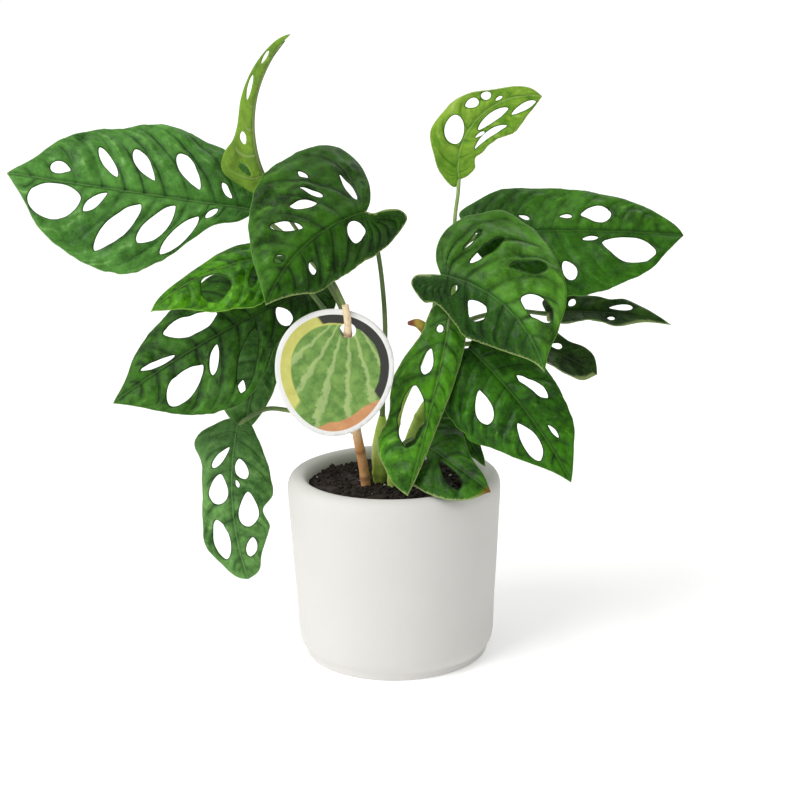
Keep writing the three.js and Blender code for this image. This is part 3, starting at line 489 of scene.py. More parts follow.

# ---------------------------------------------------------------------------------------------------
# Leaves. Heart-shaped blades with a row of holes between the side veins, each on its own long stalk
# that runs on under the blade as its midrib. The skin is waxy, quilted between sunken veins, and
# paler underneath; the young leaves are yellower, on slimmer stalks.
# ---------------------------------------------------------------------------------------------------

# A blade is drawn flat and then bent. Its points are [along, across]: along runs from the stalk to
# the tip on the midrib, and across is positive on the left half and negative on the right, as seen on
# the upper face with the tip up. left and right are the outline, and a hole is [along, across, along,
# across, width]. base and tip place the midrib, face is the way the upper side looks, and arch and sway
# are the midrib's bend towards the face and towards the left, in degrees. fold turns each half up at
# the midrib, cup curls it towards its edge and wave ripples it, the last two in full at half_width.
# Where two values stand together, the left half's is the first. quilt is how far the blade swells
# between its veins, tint is its row of TINTS, and the pair for each half's shading is how much light
# is painted on it, or below zero how much shade.
# rolled is the width of the margin that shows its pale back, and dry_tip the length that has dried.
# stalk is the stalk's path from the stem to the base.
LEAVES = [
    {
        "name": "leaf_far_left", "tint": "blue_green", "quilt": 1.0,
        "base": [-91, 5, 306], "tip": [-242, -25, 335], "face": [-0.15, -0.8, 0.6],
        "arch": 22, "sway": 14, "fold": [8, 8], "cup": [-20, -20], "half_width": 50, "wave": 1.2,
        "left": [[0, 4], [9, 11], [26, 17], [40, 29], [58, 46], [80, 59], [101, 54], [130, 37], [142, 20]],
        "right": [[-8, -7], [-6, -22], [8, -36], [34, -49], [60, -54], [94, -46], [128, -30], [144, -12]],
        "holes": [[119, -8, 132, -10, 8], [89, -9, 102, -26, 8], [65, -10, 80, -30, 9],
            [35, -8, 50, -33, 11], [13, -5, 20, -15, 5], [108, 12, 141, 17, 25], [94, 4, 107, 20, 6],
            [73, 9, 96, 44, 13], [50, 6, 73, 38, 11], [36, 12, 58, 41, 9], [23, 4, 31, 12, 4]],
        "stalk": [[-29, -62, 248], [-36, -36, 256], [-46, -18, 268], [-62, -3, 283], [-80, 4, 297]],
    },
    {
        "name": "leaf_top_left_young", "tint": "olive_young", "quilt": 0.6,
        "base": [-80, -5, 323], "tip": [-60, -25, 418], "face": [-0.6, 0.8, 0],
        "arch": 42, "sway": -56, "fold": [45, 30], "cup": [0, 0], "half_width": 25, "wave": 0.5,
        "left": [[0, 3], [10, 6], [22, 7], [38, 6], [60, 5], [80, 4], [96, 2]],
        "right": [[-3, -8], [5, -15], [12, -21], [18, -23], [25, -19], [32, -12], [40, -9], [60, -8],
            [80, -6], [98, -3]],
        "holes": [[80, -3, 89, -3, 2], [56, -4, 71, -5, 2.6], [28, -5, 36, -6, 4], [9, -6, 17, -11, 4.5]],
        "stalk": [[-28, -67, 252], [-31, -58, 257], [-36, -43, 264], [-50, -26, 282], [-64, -13, 300],
            [-74, -8, 315]],
    },
    {
        "name": "leaf_front_left", "tint": "dark", "quilt": 1.1, "half_shading": [-0.2, 0.25],
        "rolled": [0.7, 0],
        "base": [-14, -35, 308], "tip": [-75, -90, 259], "face": [-0.25, -0.95, 0.25],
        "arch": 18, "sway": -47, "fold": [-38, 5], "cup": [-15, -15], "half_width": 45, "wave": 1,
        "left": [[-4, 2], [-14, 1], [-24, 2], [-29, 7], [-25, 14], [-9, 26], [12, 31], [46, 32],
            [66, 27], [82, 14]],
        "right": [[-5, -6], [-10, -20], [-10, -42], [-3, -58], [10, -63], [26, -60], [41, -52],
            [63, -33], [87, -9]],
        "holes": [[19, -47, 19, -38, 3], [27, -33, 19, -20, 3], [38, -26, 25, -18, 7],
            [55, -25, 43, -9, 6], [3, -31, 2, -10, 4], [4, 12, 18, 9, 13], [65, -4, 71, -8, 4.5],
            [54, 10, 56, 19, 6.5]],
        "stalk": [[-7, -10, 166], [-6, -13, 195], [-4, -18, 228], [-5, -23, 256], [-8, -29, 283],
            [-12, -33, 299]],
    },
    {
        "name": "leaf_mid_left", "tint": "mid", "quilt": 1.2,
        "base": [-77, -15, 277], "tip": [-152, -50, 249], "face": [-0.2, -0.75, 0.7],
        "arch": 20, "sway": -34, "fold": [0, -15], "cup": [-15, -15], "half_width": 35, "wave": 0.8,
        "left": [[-6, 6], [-7, 16], [0, 28], [18, 35], [38, 34], [56, 29], [72, 16], [82, 8]],
        "right": [[-4, -12], [2, -22], [14, -24], [26, -19], [40, -12], [58, -7], [78, -4]],
        "holes": [[33, 13, 55, 12, 20], [11, 7, 21, 22, 5.5]],
        "stalk": [[-27, -52, 224], [-40, -30, 240], [-54, -18, 256], [-68, -15, 270]],
    },
    {
        "name": "leaf_low_left", "tint": "grey_green", "quilt": 0.8,
        "base": [-55, 5, 252], "tip": [-185, -20, 182], "face": [-0.25, -0.85, 0.45],
        "arch": 18, "sway": -6, "fold": [0, 0], "cup": [-15, -15], "half_width": 50, "wave": 1.2,
        "left": [[-6, 2], [-14, 6], [-12, 18], [5, 26], [33, 25], [51, 38], [74, 49], [90, 47],
            [114, 35], [140, 10]],
        "right": [[-4, -8], [-4, -22], [10, -34], [32, -41], [54, -42], [74, -37], [92, -32],
            [117, -22], [138, -6]],
        "holes": [[60, -12, 98, -20, 14], [98, -3, 122, -6, 4.5], [87, 13, 118, 24, 17],
            [71, 6, 83, 22, 6.5], [44, 10, 72, 42, 12], [24, 2.5, 22, 18, 9.5]],
        "stalk": [[-26, -37, 192], [-31, -22, 209], [-40, -6, 232], [-48, 3, 245]],
    },
    {
        "name": "leaf_back_left", "tint": "pale_green", "quilt": 0.9,
        "base": [-87, 31, 217], "tip": [-103, 15, 150], "face": [-0.1, -0.9, 0.3],
        "arch": 15, "sway": 0, "fold": [0, 0], "cup": [-10, -10], "half_width": 30, "wave": 0.6,
        "left": [[-5, 6], [4, 13], [18, 16], [36, 15], [52, 11], [62, 6]],
        "right": [[-5, -6], [-3, -16], [8, -25], [26, -28], [44, -25], [58, -16]],
        "holes": [[35, -8, 46, -7, 6]],
        "stalk": [[-25, -30, 176], [-38, -2, 186], [-63, 20, 206], [-79, 29, 212]],
    },
    {
        "name": "leaf_hanging", "tint": "pale_green", "quilt": 0.9,
        "base": [-105, 0, 161], "tip": [-100, -20, 57], "face": [-0.1, -0.95, 0.25],
        "arch": 20, "sway": -28, "fold": [-5, -5], "cup": [-15, -15], "half_width": 28, "wave": 1.6,
        "left": [[-3, 7], [8, 16], [20, 22], [34, 26], [49, 28], [60, 21], [74, 23], [93, 14], [104, 9]],
        "right": [[-3, -5], [3, -17], [11, -28], [17, -30], [27, -23], [42, -21], [62, -23],
            [79, -24], [91, -17], [104, -7]],
        "holes": [[16, -3, 31, -13, 5], [35, -7, 54, -11, 13], [64, -11.5, 90, -11, 13],
            [23, 4, 37.5, 9, 8], [38, 3, 43, 5, 2.5], [47, 11, 71, 10.5, 13.5], [79, 11, 92.5, 6.5, 7]],
        "stalk": [[-23, -20, 158], [-48, -14, 171], [-68, -8, 172], [-84, -2, 172], [-95, 0, 167]],
    },
    {
        "name": "leaf_top_right_young", "tint": "bright_young", "quilt": 0.5,
        "base": [46, 0, 323], "tip": [99, -8, 376], "face": [0.3, -0.85, 0.2],
        "arch": 10, "sway": 112, "fold": [0, 0], "cup": [0, 0], "half_width": 35, "wave": 0.8,
        "left": [[-4, 4], [6, 12], [14, 16], [25, 22], [34, 21], [46, 18], [60, 10], [81, 5]],
        "right": [[2, -6], [8, -11], [17, -11], [22, -14], [41, -18], [53, -21], [68, -20], [83, -9]],
        "holes": [[22.5, 3, 37.5, 13, 11.5], [44, 11.5, 51, 8, 5.5], [54.5, 11, 57, 5.5, 5],
            [59, 2.5, 64, 3, 2], [38, -5, 64, -6, 6], [32, -6, 40, -9, 2], [24, -9, 58, -15, 4],
            [66, -10, 85, -4, 4.5]],
        "stalk": [[41, 2, 260], [42, 2, 284], [43, 1, 300], [45, 0, 315]],
    },
    {
        "name": "leaf_far_right", "tint": "smooth_dark", "quilt": 0.6, "half_shading": [0.3, -0.2],
        "base": [58, 10, 287], "tip": [197, 20, 282], "face": [0.2, -0.8, 0.6],
        "arch": 20, "sway": -3, "fold": [5, 5], "cup": [-20, -20], "half_width": 42, "wave": 1,
        "left": [[-6, 4], [-12, 15], [-2, 23], [15, 32], [45, 34], [70, 31], [104, 24], [133, 8]],
        "right": [[-3, -8], [5, -22], [30, -40], [57, -47], [79, -43], [111, -29], [128, -12]],
        "holes": [[69, 11, 91, 13, 10.5], [82, -9, 118, -17, 18], [56, -23, 62, -35, 9.5],
            [28, 12, 35, 9, 3], [55, 10, 63, 10, 3], [69, -6, 80, -5, 3]],
        "stalk": [[40, 1, 243], [43, 9, 262], [50, 13, 279]],
    },
    {
        "name": "leaf_front_right", "tint": "mid_dark", "quilt": 1.5, "half_shading": [0.45, -0.8],
        "rolled": [0, 0.85],
        "base": [32, -35, 267], "tip": [95, -75, 211], "face": [0.1, -0.9, 0.3],
        "arch": 15, "sway": 62, "fold": [-5, -30], "cup": [-15, -10], "half_width": 48, "wave": 1.2,
        "left": [[-5, 9], [-7, 22], [-4, 38], [6, 53], [15, 61], [28, 60], [44, 51], [61, 39],
            [77, 19], [88, 6]],
        "right": [[-9, -1], [-17, -2], [-20, -7], [-11, -19], [-2, -19], [10, -24], [34, -33],
            [57, -27], [73, -19], [91, -4]],
        "holes": [[14, 13, 23, 39, 5.5], [8, 21, 12, 39, 2], [35, 22, 48, 39, 7], [50, 12, 71, 18, 15],
            [10, -12, 12, -4, 3.5], [25, -11, 41, -15, 12]],
        "stalk": [[25, -14, 224], [28, -11, 233], [29, -13, 244], [30, -21, 254], [31, -30, 262]],
    },
    {
        "name": "leaf_curled_right", "tint": "darkest", "quilt": 0.8, "rolled": [0, 2.4],
        "base": [107, 45, 226], "tip": [192, 30, 219], "face": [0.05, -0.75, 0.6],
        "arch": 15, "sway": 16, "fold": [0, 0], "cup": [0, 90], "half_width": 22, "wave": 6,
        "left": [[-2, 9], [10, 14], [32, 13], [43, 10], [54, 12], [66, 8], [76, 4]],
        "right": [[3, -13], [16, -18], [30, -16], [40, -18], [54, -13], [66, -5], [76, -2]],
        "holes": [[16, 4, 20, 9, 4.5], [44, 4, 59, 6, 4.5], [43, -4, 48, -4, 3]],
        "stalk": [[38, 0, 224], [60, 18, 229], [85, 36, 229]],
    },
    {
        "name": "leaf_small_right", "tint": "darkest", "quilt": 0.8, "rolled": [0, 3],
        "base": [93, 20, 212], "tip": [139, 8, 190], "face": [0.1, -0.8, 0.5],
        "arch": 25, "sway": 0, "fold": [0, 0], "cup": [-10, 95], "half_width": 28, "wave": 2.5,
        "left": [[0, 8], [13, 14], [26, 11], [36, 13], [45, 10]],
        "right": [[-1, -7], [7, -16], [18, -23], [33, -24], [45, -12]],
        "holes": [[15, 3.5, 23, 5, 4.5]],
        "stalk": [[36, 0, 213], [59, 8, 213], [78, 15, 214]],
    },
    {
        "name": "leaf_low_right", "tint": "mid_dark", "quilt": 1.4,
        "base": [50, -25, 217], "tip": [115, -55, 133], "face": [0, -0.85, 0.55],
        "arch": 20, "sway": 15, "fold": [0, 0], "cup": [-20, -20], "half_width": 42, "wave": 1,
        "left": [[-2, 7], [6, 15], [20, 23], [37, 29], [63, 27], [80, 22], [93, 13]],
        "right": [[-4, -8], [2, -24], [21, -40], [49, -40], [66, -31], [84, -19], [100, -7]],
        "holes": [[35, 10, 57, 17, 7], [59, -9, 89, -10, 10], [72, 6, 82, 8, 2.7],
            [27, -15, 48, -26, 11]],
        "stalk": [[32, 0, 195], [40, -11, 205], [46, -20, 213]],
    },
    {
        "name": "leaf_centre", "tint": "rich", "quilt": 1.2, "rolled": [0.4, 0.8],
        "base": [40, -24, 245], "tip": [9, -66, 129], "face": [-0.3, -0.8, 0.4],
        "arch": 12, "sway": 10, "fold": [-35, 5], "cup": [-10, -25], "half_width": 30, "wave": 1.2,
        "left": [[0, 6], [16, 13], [35, 13], [55, 11], [76, 8], [97, 5], [117, 2]],
        "right": [[0, -12], [21, -18], [35, -25], [51, -31], [66, -32], [79, -29], [91, -31],
            [103, -30], [115, -21], [123, -11]],
        "holes": [[14, -7, 19, -4, 4.5], [31, -9, 48, -9, 8], [57, -13, 96, -10, 19]],
        "stalk": [[35, 0, 212], [39, -8, 226], [40, -17, 237]],
    },
    {
        "name": "leaf_over_rim", "tint": "dark", "quilt": 1.1, "dry_tip": 5, "rolled": [0, 0.7],
        "base": [14, -34, 159], "tip": [62, -68, 132], "face": [0.15, -0.8, 0.55],
        "arch": 15, "sway": 0, "fold": [0, 0], "cup": [-20, -20], "half_width": 30, "wave": 0.6,
        "left": [[-3, 9], [-1, 20], [7, 28], [19, 25], [38, 12], [54, 6]],
        "right": [[-2, -8], [4, -20], [14, -28], [28, -27], [46, -22], [58, -13]],
        "holes": [[16, -6, 19, -15, 3.5], [26, -4, 49, -12, 8]],
        "stalk": [[-1, -14, 138], [4, -22, 147], [10, -30, 156]],
    },
    {
        "name": "leaf_inner", "tint": "dark", "quilt": 0.9,
        "base": [32, -5, 180], "tip": [62, -15, 133], "face": [0.25, -0.8, 0.5],
        "arch": 10, "sway": 0, "fold": [0, 0], "cup": [0, 0], "half_width": 25, "wave": 0.4,
        "left": [[2, 8], [14, 14], [30, 11], [42, 5], [52, 2]],
        "right": [[0, -8], [12, -19], [26, -21], [38, -14], [47, -5], [54, -2]],
        "holes": [[20, -6, 30, -13, 4]],
        "stalk": [[23, 3, 172], [28, -1, 178]],
    },
]
BLADE_THICKNESS = 0.7
MARGIN_THICKNESS = 0.35
BLADE_GRID = 1.35
GRID_CLEARANCE = 0.7
OUTLINE_STEP = 1.3
OUTLINE_DENTS = 0.03
HOLE_TAPER = 0.22
HOLE_POINTEDNESS = 0.3
VEIN_SPACING = 12.5
VEIN_SLANT = 0.24
VEIN_CURVE = 0.0085
VEIN_HOOK = 12
HOOK_WIDTH = 4
LOBE_FAN = 30
CLOSEST_HOLES = 7
VEIN_VALLEY = 1.2
VEIN_WIDTH = 1.8
PANEL_CROWN = 0.6
PANEL_LEAN = 0.35
LUMP_HEIGHT = 2.4
RIB_DEPTH = 0.9
RIM_DIP = 0.5
MARGIN_DIP = 0.4
RIB_SUNK = [2.7, 1.4]
RIB_SHARES = [0.03, 0.2, 0.4, 0.6, 0.8, 0.95]
STALK_RADII = [1.9, 1.7, 1.6, 1.5, 1.2, 0.8, 0.4]
YOUNG_STALK_SHARE = 0.78
STALK_STEP = 2
STALK_SIDES = 12
KNEE_LENGTH = 5
KNEE_SWELLING = 0.15


def unit(vectors):
    return vectors / np.linalg.norm(vectors, axis=-1, keepdims=True)


class BladeBend:
    """The bent surface that a flat blade is laid on: an arc along it and an arc across each half."""

    def __init__(self, leaf):
        self.leaf = leaf
        self.base = np.array(leaf["base"], float)
        chord = np.array(leaf["tip"], float) - self.base
        reach = np.linalg.norm(chord)
        self.forward = chord / reach
        face = np.array(leaf["face"], float)
        self.face = unit(face - face @ self.forward * self.forward)
        leftward = np.cross(self.face, self.forward)
        arch, sway = math.radians(leaf["arch"]), math.radians(leaf["sway"])
        self.bend = math.hypot(arch, sway)
        self.bulge = self.face * arch / self.bend + leftward * sway / self.bend
        self.axis = np.cross(self.forward, self.bulge)
        self.radius = reach / (2 * math.sin(self.bend / 2))
        self.length = self.radius * self.bend

    def laid(self, along, across):
        """Where flat points come to lie."""
        along, across = np.asarray(along, float), np.asarray(across, float)
        turn = (along / self.radius - self.bend / 2)[..., None]
        ahead = self.radius * (np.sin(turn) + math.sin(self.bend / 2))
        out = self.radius * (np.cos(turn) - math.cos(self.bend / 2))
        centre = self.base + self.forward * ahead + self.bulge * out
        tangent = self.forward * np.cos(turn) - self.bulge * np.sin(turn)
        outward = self.bulge * np.cos(turn) + self.forward * np.sin(turn)
        up = outward * (self.face @ self.bulge) + self.axis * (self.face @ self.axis)
        left = np.cross(up, tangent)
        half = np.where(across >= 0, 0, 1)
        distance = np.abs(across)
        width = self.leaf["half_width"]
        tilt = np.radians(np.array(self.leaf["fold"], float))[half]
        cup = np.array([value or 0.01 for value in self.leaf["cup"]], float)
        curl = np.radians(cup)[half] / width
        reach_out = (np.sin(tilt + curl * distance) - np.sin(tilt)) / curl
        rise = (np.cos(tilt) - np.cos(tilt + curl * distance)) / curl
        phase = 5 * math.pi * along / self.length + 2 * half
        ripple = self.leaf["wave"] * (distance / width) ** 2 * np.sin(phase)
        return centre + left * (np.sign(across) * reach_out)[..., None] + up * (rise + ripple)[..., None]

    def facing(self, along, across):
        """Which way the upper side looks at flat points."""
        step = 0.5
        ahead = self.laid(along + step, across) - self.laid(along - step, across)
        beside = self.laid(along, across + step) - self.laid(along, across - step)
        return unit(np.cross(ahead, beside))


def hole_ring(hole):
    """The edge of a hole: the longer it is, the more a lens, and it is plumper towards its second end."""
    from_end, to_end, width = np.array(hole[:2], float), np.array(hole[2:4], float), hole[4]
    middle = (from_end + to_end) / 2
    long = to_end - middle
    short = np.array([-long[1], long[0]]) / np.linalg.norm(long) * width / 2
    corners = max(14, round((np.linalg.norm(long) * 2 + width) * 1.5))
    angle = np.linspace(0, 2 * math.pi, corners, endpoint=False)[:, None]
    slim = min(max(np.linalg.norm(long) / np.linalg.norm(short) - 1, 0), 1)
    plump = np.sign(np.sin(angle)) * np.abs(np.sin(angle)) ** (1 + HOLE_POINTEDNESS * slim)
    plump = plump * (1 + HOLE_TAPER * np.cos(angle))
    uneven = 1 + 0.05 * np.sin(2 * angle + middle[0]) + 0.04 * np.sin(3 * angle + middle[1])
    return middle + (long * np.cos(angle) + short * plump) * uneven


def is_inside(points, ring):
    """Whether flat points lie inside a closed ring."""
    x, y = points[:, :1], points[:, 1:]
    from_x, from_y = ring[:, 0], ring[:, 1]
    to_x, to_y = np.roll(from_x, -1), np.roll(from_y, -1)
    crosses = (from_y > y) != (to_y > y)
    slope = (to_x - from_x) / np.where(to_y == from_y, 1e-9, to_y - from_y)
    return (crosses & (x < slope * (y - from_y) + from_x)).sum(1) % 2 == 1


def edge_distance(points, rings):
    """How far flat points lie from the nearest of some closed rings."""
    nearest = np.full(len(points), 1e9)
    for ring in rings:
        for a, b in zip(ring, np.roll(ring, -1, axis=0)):
            side = b - a
            share = np.clip(((points - a) @ side) / (side @ side + 1e-12), 0, 1)[:, None]
            nearest = np.minimum(nearest, np.linalg.norm(points - a - share * side, axis=1))
    return nearest


def vein_root(along, across, margin):
    """Where on the midrib the side vein through a flat point starts.

    A vein sweeps forward and hooks towards the tip near the margin, and those of the lobes fan out.
    """
    across = np.abs(across)
    swept = VEIN_SLANT * across + VEIN_CURVE * across**2 + VEIN_HOOK * np.exp(-margin / HOOK_WIDTH)
    fanned = np.arctan2(across, along) - np.arctan2(across, swept)
    return np.where(along > swept, along - swept, -LOBE_FAN * fanned)


def vein_phase(leaf, flat, margin, rings):
    """Counts the side veins passed at flat points: whole numbers lie on one, halfway between holes."""
    phase = np.zeros(len(flat))
    centres = np.array([ring.mean(0) for ring in rings[1:]])
    roots = vein_root(*centres.T, edge_distance(centres, rings[:1]))
    for sign in (1, -1):
        spaced = []
        for root in sorted(roots[centres[:, 1] * sign > 0]):
            if not spaced or root - spaced[-1] > CLOSEST_HOLES:
                spaced.append(root)
        spaced = spaced or [20]
        marks = [spaced[0] - VEIN_SPACING / 2]
        for here, after in zip(spaced, spaced[1:]):
            gaps = max(1, round((after - here) / VEIN_SPACING / 1.3))
            marks += [here + (after - here) * (k + 0.5) / gaps for k in range(gaps)]
        marks.append(spaced[-1] + VEIN_SPACING / 2)
        marks = [marks[0] - VEIN_SPACING * k for k in range(9, 0, -1)] + marks
        marks += [marks[-1] + VEIN_SPACING * k for k in range(1, 9)]
        own = flat[:, 1] * sign >= 0
        phase[own] = np.interp(vein_root(*flat.T, margin)[own], marks, np.arange(len(marks)))
    return phase


def cut_sheet(rings, grid, clearance):
    """Fine triangles of a flat sheet, from its outline and holes, and a grid kept clear of them."""
    grid = grid[is_inside(grid, rings[0])]
    grid = grid[edge_distance(grid, rings) > clearance]
    edges, start = [], 0
    for ring in rings:
        edges += [(start + i, start + (i + 1) % len(ring)) for i in range(len(ring))]
        start += len(ring)
    drawn = [Vector(p) for p in np.vstack(rings + [grid])]
    result = delaunay_2d_cdt(drawn, edges, [], 0, 1e-5)
    flat, triangles = np.array([tuple(p) for p in result[0]]), np.array(result[2])
    centres = flat[triangles].mean(1)
    kept = is_inside(centres, rings[0])
    for ring in rings[1:]:
        kept &= ~is_inside(centres, ring)
    return flat, triangles[kept]


def sheet_faces(triangles, count):
    """Faces of a thin sheet's upper side, of its lower side, a count of corners on, and of its edge."""
    faces = [tuple(t) for t in triangles] + [(a + count, c + count, b + count) for a, b, c in triangles]
    sides = dict.fromkeys(side for a, b, c in triangles for side in ((a, b), (b, c), (c, a)))
    return faces + [(a, a + count, b + count, b) for a, b in sides if (b, a) not in sides]


def flat_blade(leaf, length):
    """The flat blade in fine triangles, and the rings of its outline and holes."""
    left = smooth_path([[0, 0]] + leaf["left"] + [[length, 0]], OUTLINE_STEP)
    right = smooth_path([[0, 0]] + leaf["right"] + [[length, 0]], OUTLINE_STEP)
    for half in (left, right):
        dents = [noise.fractal(Vector((s * 0.09, w * 0.05, leaf["tip"][2])), 1, 2, 3) for s, w in half]
        half[:, 1] *= 1 + OUTLINE_DENTS * np.array(dents) * np.clip(np.abs(half[:, 1]) / 10, 0, 1)
    rings = [np.vstack([right[:-1], left[1:][::-1]])] + [hole_ring(hole) for hole in leaf["holes"]]
    low, high = rings[0].min(0), rings[0].max(0)
    columns = np.arange(low[0], high[0], BLADE_GRID)
    rows = np.arange(math.floor(low[1] / BLADE_GRID), high[1] / BLADE_GRID) * BLADE_GRID
    s, w = np.meshgrid(columns, rows)
    s = s + (np.round(w / BLADE_GRID) % 2) * BLADE_GRID / 2
    flat, triangles = cut_sheet(rings, np.stack([s.ravel(), w.ravel()], 1), GRID_CLEARANCE)
    return flat, triangles, rings


def blade_mesh(leaf, bend):
    """Corners and faces of a blade with both its sides and its margin, and its marks."""
    flat, triangles, rings = flat_blade(leaf, bend.length)
    along, across = flat[:, 0], flat[:, 1]
    margin, rims = edge_distance(flat, rings[:1]), edge_distance(flat, rings[1:])
    brink = np.minimum(margin, rims)
    phase = vein_phase(leaf, flat, margin, rings)
    panel = phase - np.floor(phase)
    off_vein = np.minimum(panel, 1 - panel) * VEIN_SPACING
    puff = VEIN_VALLEY - VEIN_VALLEY * np.exp(-off_vein / VEIN_WIDTH)
    puff += PANEL_CROWN * np.sin(panel * math.pi) + PANEL_LEAN * (panel - 0.5)
    lumps = np.array([noise.fractal(Vector((s, w, leaf["base"][2])) * 0.045, 1, 2, 3) for s, w in flat])
    off_rib = np.clip(np.abs(across) / 9, 0, 1)
    inward = off_rib * np.clip(margin / 7, 0, 1)
    lift = leaf["quilt"] * puff * inward * np.clip(0.75 + lumps, 0.3, 1.5)
    lift -= RIB_DEPTH * np.exp(-(across / 1.7) ** 2)
    lift -= MARGIN_DIP * np.exp(-((margin - 5.5) / 1.3) ** 2) * inward
    lift -= RIM_DIP * np.exp(-(rims / 1.4) ** 2) * np.clip(margin / 5, 0, 1)
    lift += LUMP_HEIGHT * lumps * np.clip(margin / 5, 0.15, 1) * off_rib
    thickness = MARGIN_THICKNESS + (BLADE_THICKNESS - MARGIN_THICKNESS) * np.clip(brink / 1.5, 0, 1)
    middle, normal = bend.laid(along, across), bend.facing(along, across)
    upper = middle + normal * (lift + thickness / 2)[:, None]
    lower = middle + normal * (lift - thickness / 2)[:, None]
    rolled = np.where(across >= 0, *leaf.get("rolled", [0, 0]))
    left_shading, right_shading = leaf.get("half_shading", [0, 0])
    dry_from = bend.length - leaf.get("dry_tip", 0)
    marks = {
        "along": along, "across": across, "edge": brink, "margin": margin, "veins": phase,
        "rolled": np.clip((rolled - margin) / 0.7, 0, 1),
        # how much light, or below zero shade, is painted on each half, blended across the midrib
        "half_shading": np.interp(across, [-4, 4], [right_shading, left_shading]),
        "dry": np.clip((along - dry_from) / 4, 0, 1),
    }
    marks = {mark: np.tile(values, 2) for mark, values in marks.items()}
    marks["under"] = np.repeat([0, 1], len(flat))
    return np.vstack([upper, lower]), sheet_faces(triangles, len(flat)), marks


# Each tint's deep and light colour of the upper side, that of its veins, which also serves for painted
# highlights and painted light, and of its back, then its roughness, how softly deep turns to light, and
# how clearly the
# creases over the side veins show: their painted shade and that of the valleys beside them, their relief
# and their pale lines on the back.
TINTS = {
    "blue_green": [(16, 60, 8), (102, 168, 68), (156, 200, 122), (110, 148, 70), 0.34, 0.22, 1],
    "olive_young": [(44, 80, 12), (130, 168, 54), (190, 208, 140), (98, 132, 44), 0.36, 0.12, 0.7],
    "dark": [(6, 32, 0), (54, 110, 8), (104, 162, 54), (96, 130, 56), 0.32, 0.1, 0.9],
    "mid": [(14, 62, 0), (92, 168, 4), (158, 210, 80), (108, 150, 58), 0.32, 0.12, 1],
    "grey_green": [(2, 26, 0), (62, 118, 22), (108, 156, 68), (92, 130, 58), 0.4, 0.12, 1],
    "pale_green": [(28, 74, 18), (108, 158, 80), (160, 198, 132), (122, 156, 78), 0.36, 0.13, 1],
    "bright_young": [(72, 126, 4), (148, 184, 60), (216, 226, 156), (146, 176, 80), 0.34, 0.13, 0.9],
    "mid_dark": [(8, 42, 0), (60, 124, 10), (112, 170, 58), (98, 138, 54), 0.32, 0.14, 0.9],
    "smooth_dark": [(10, 46, 0), (60, 122, 14), (98, 156, 50), (98, 138, 54), 0.3, 0.16, 0.45],
    "darkest": [(8, 30, 2), (56, 96, 18), (104, 138, 66), (150, 172, 112), 0.34, 0.12, 0.8],
    "rich": [(8, 48, 0), (80, 148, 16), (134, 184, 68), (108, 146, 60), 0.32, 0.13, 0.9],
}


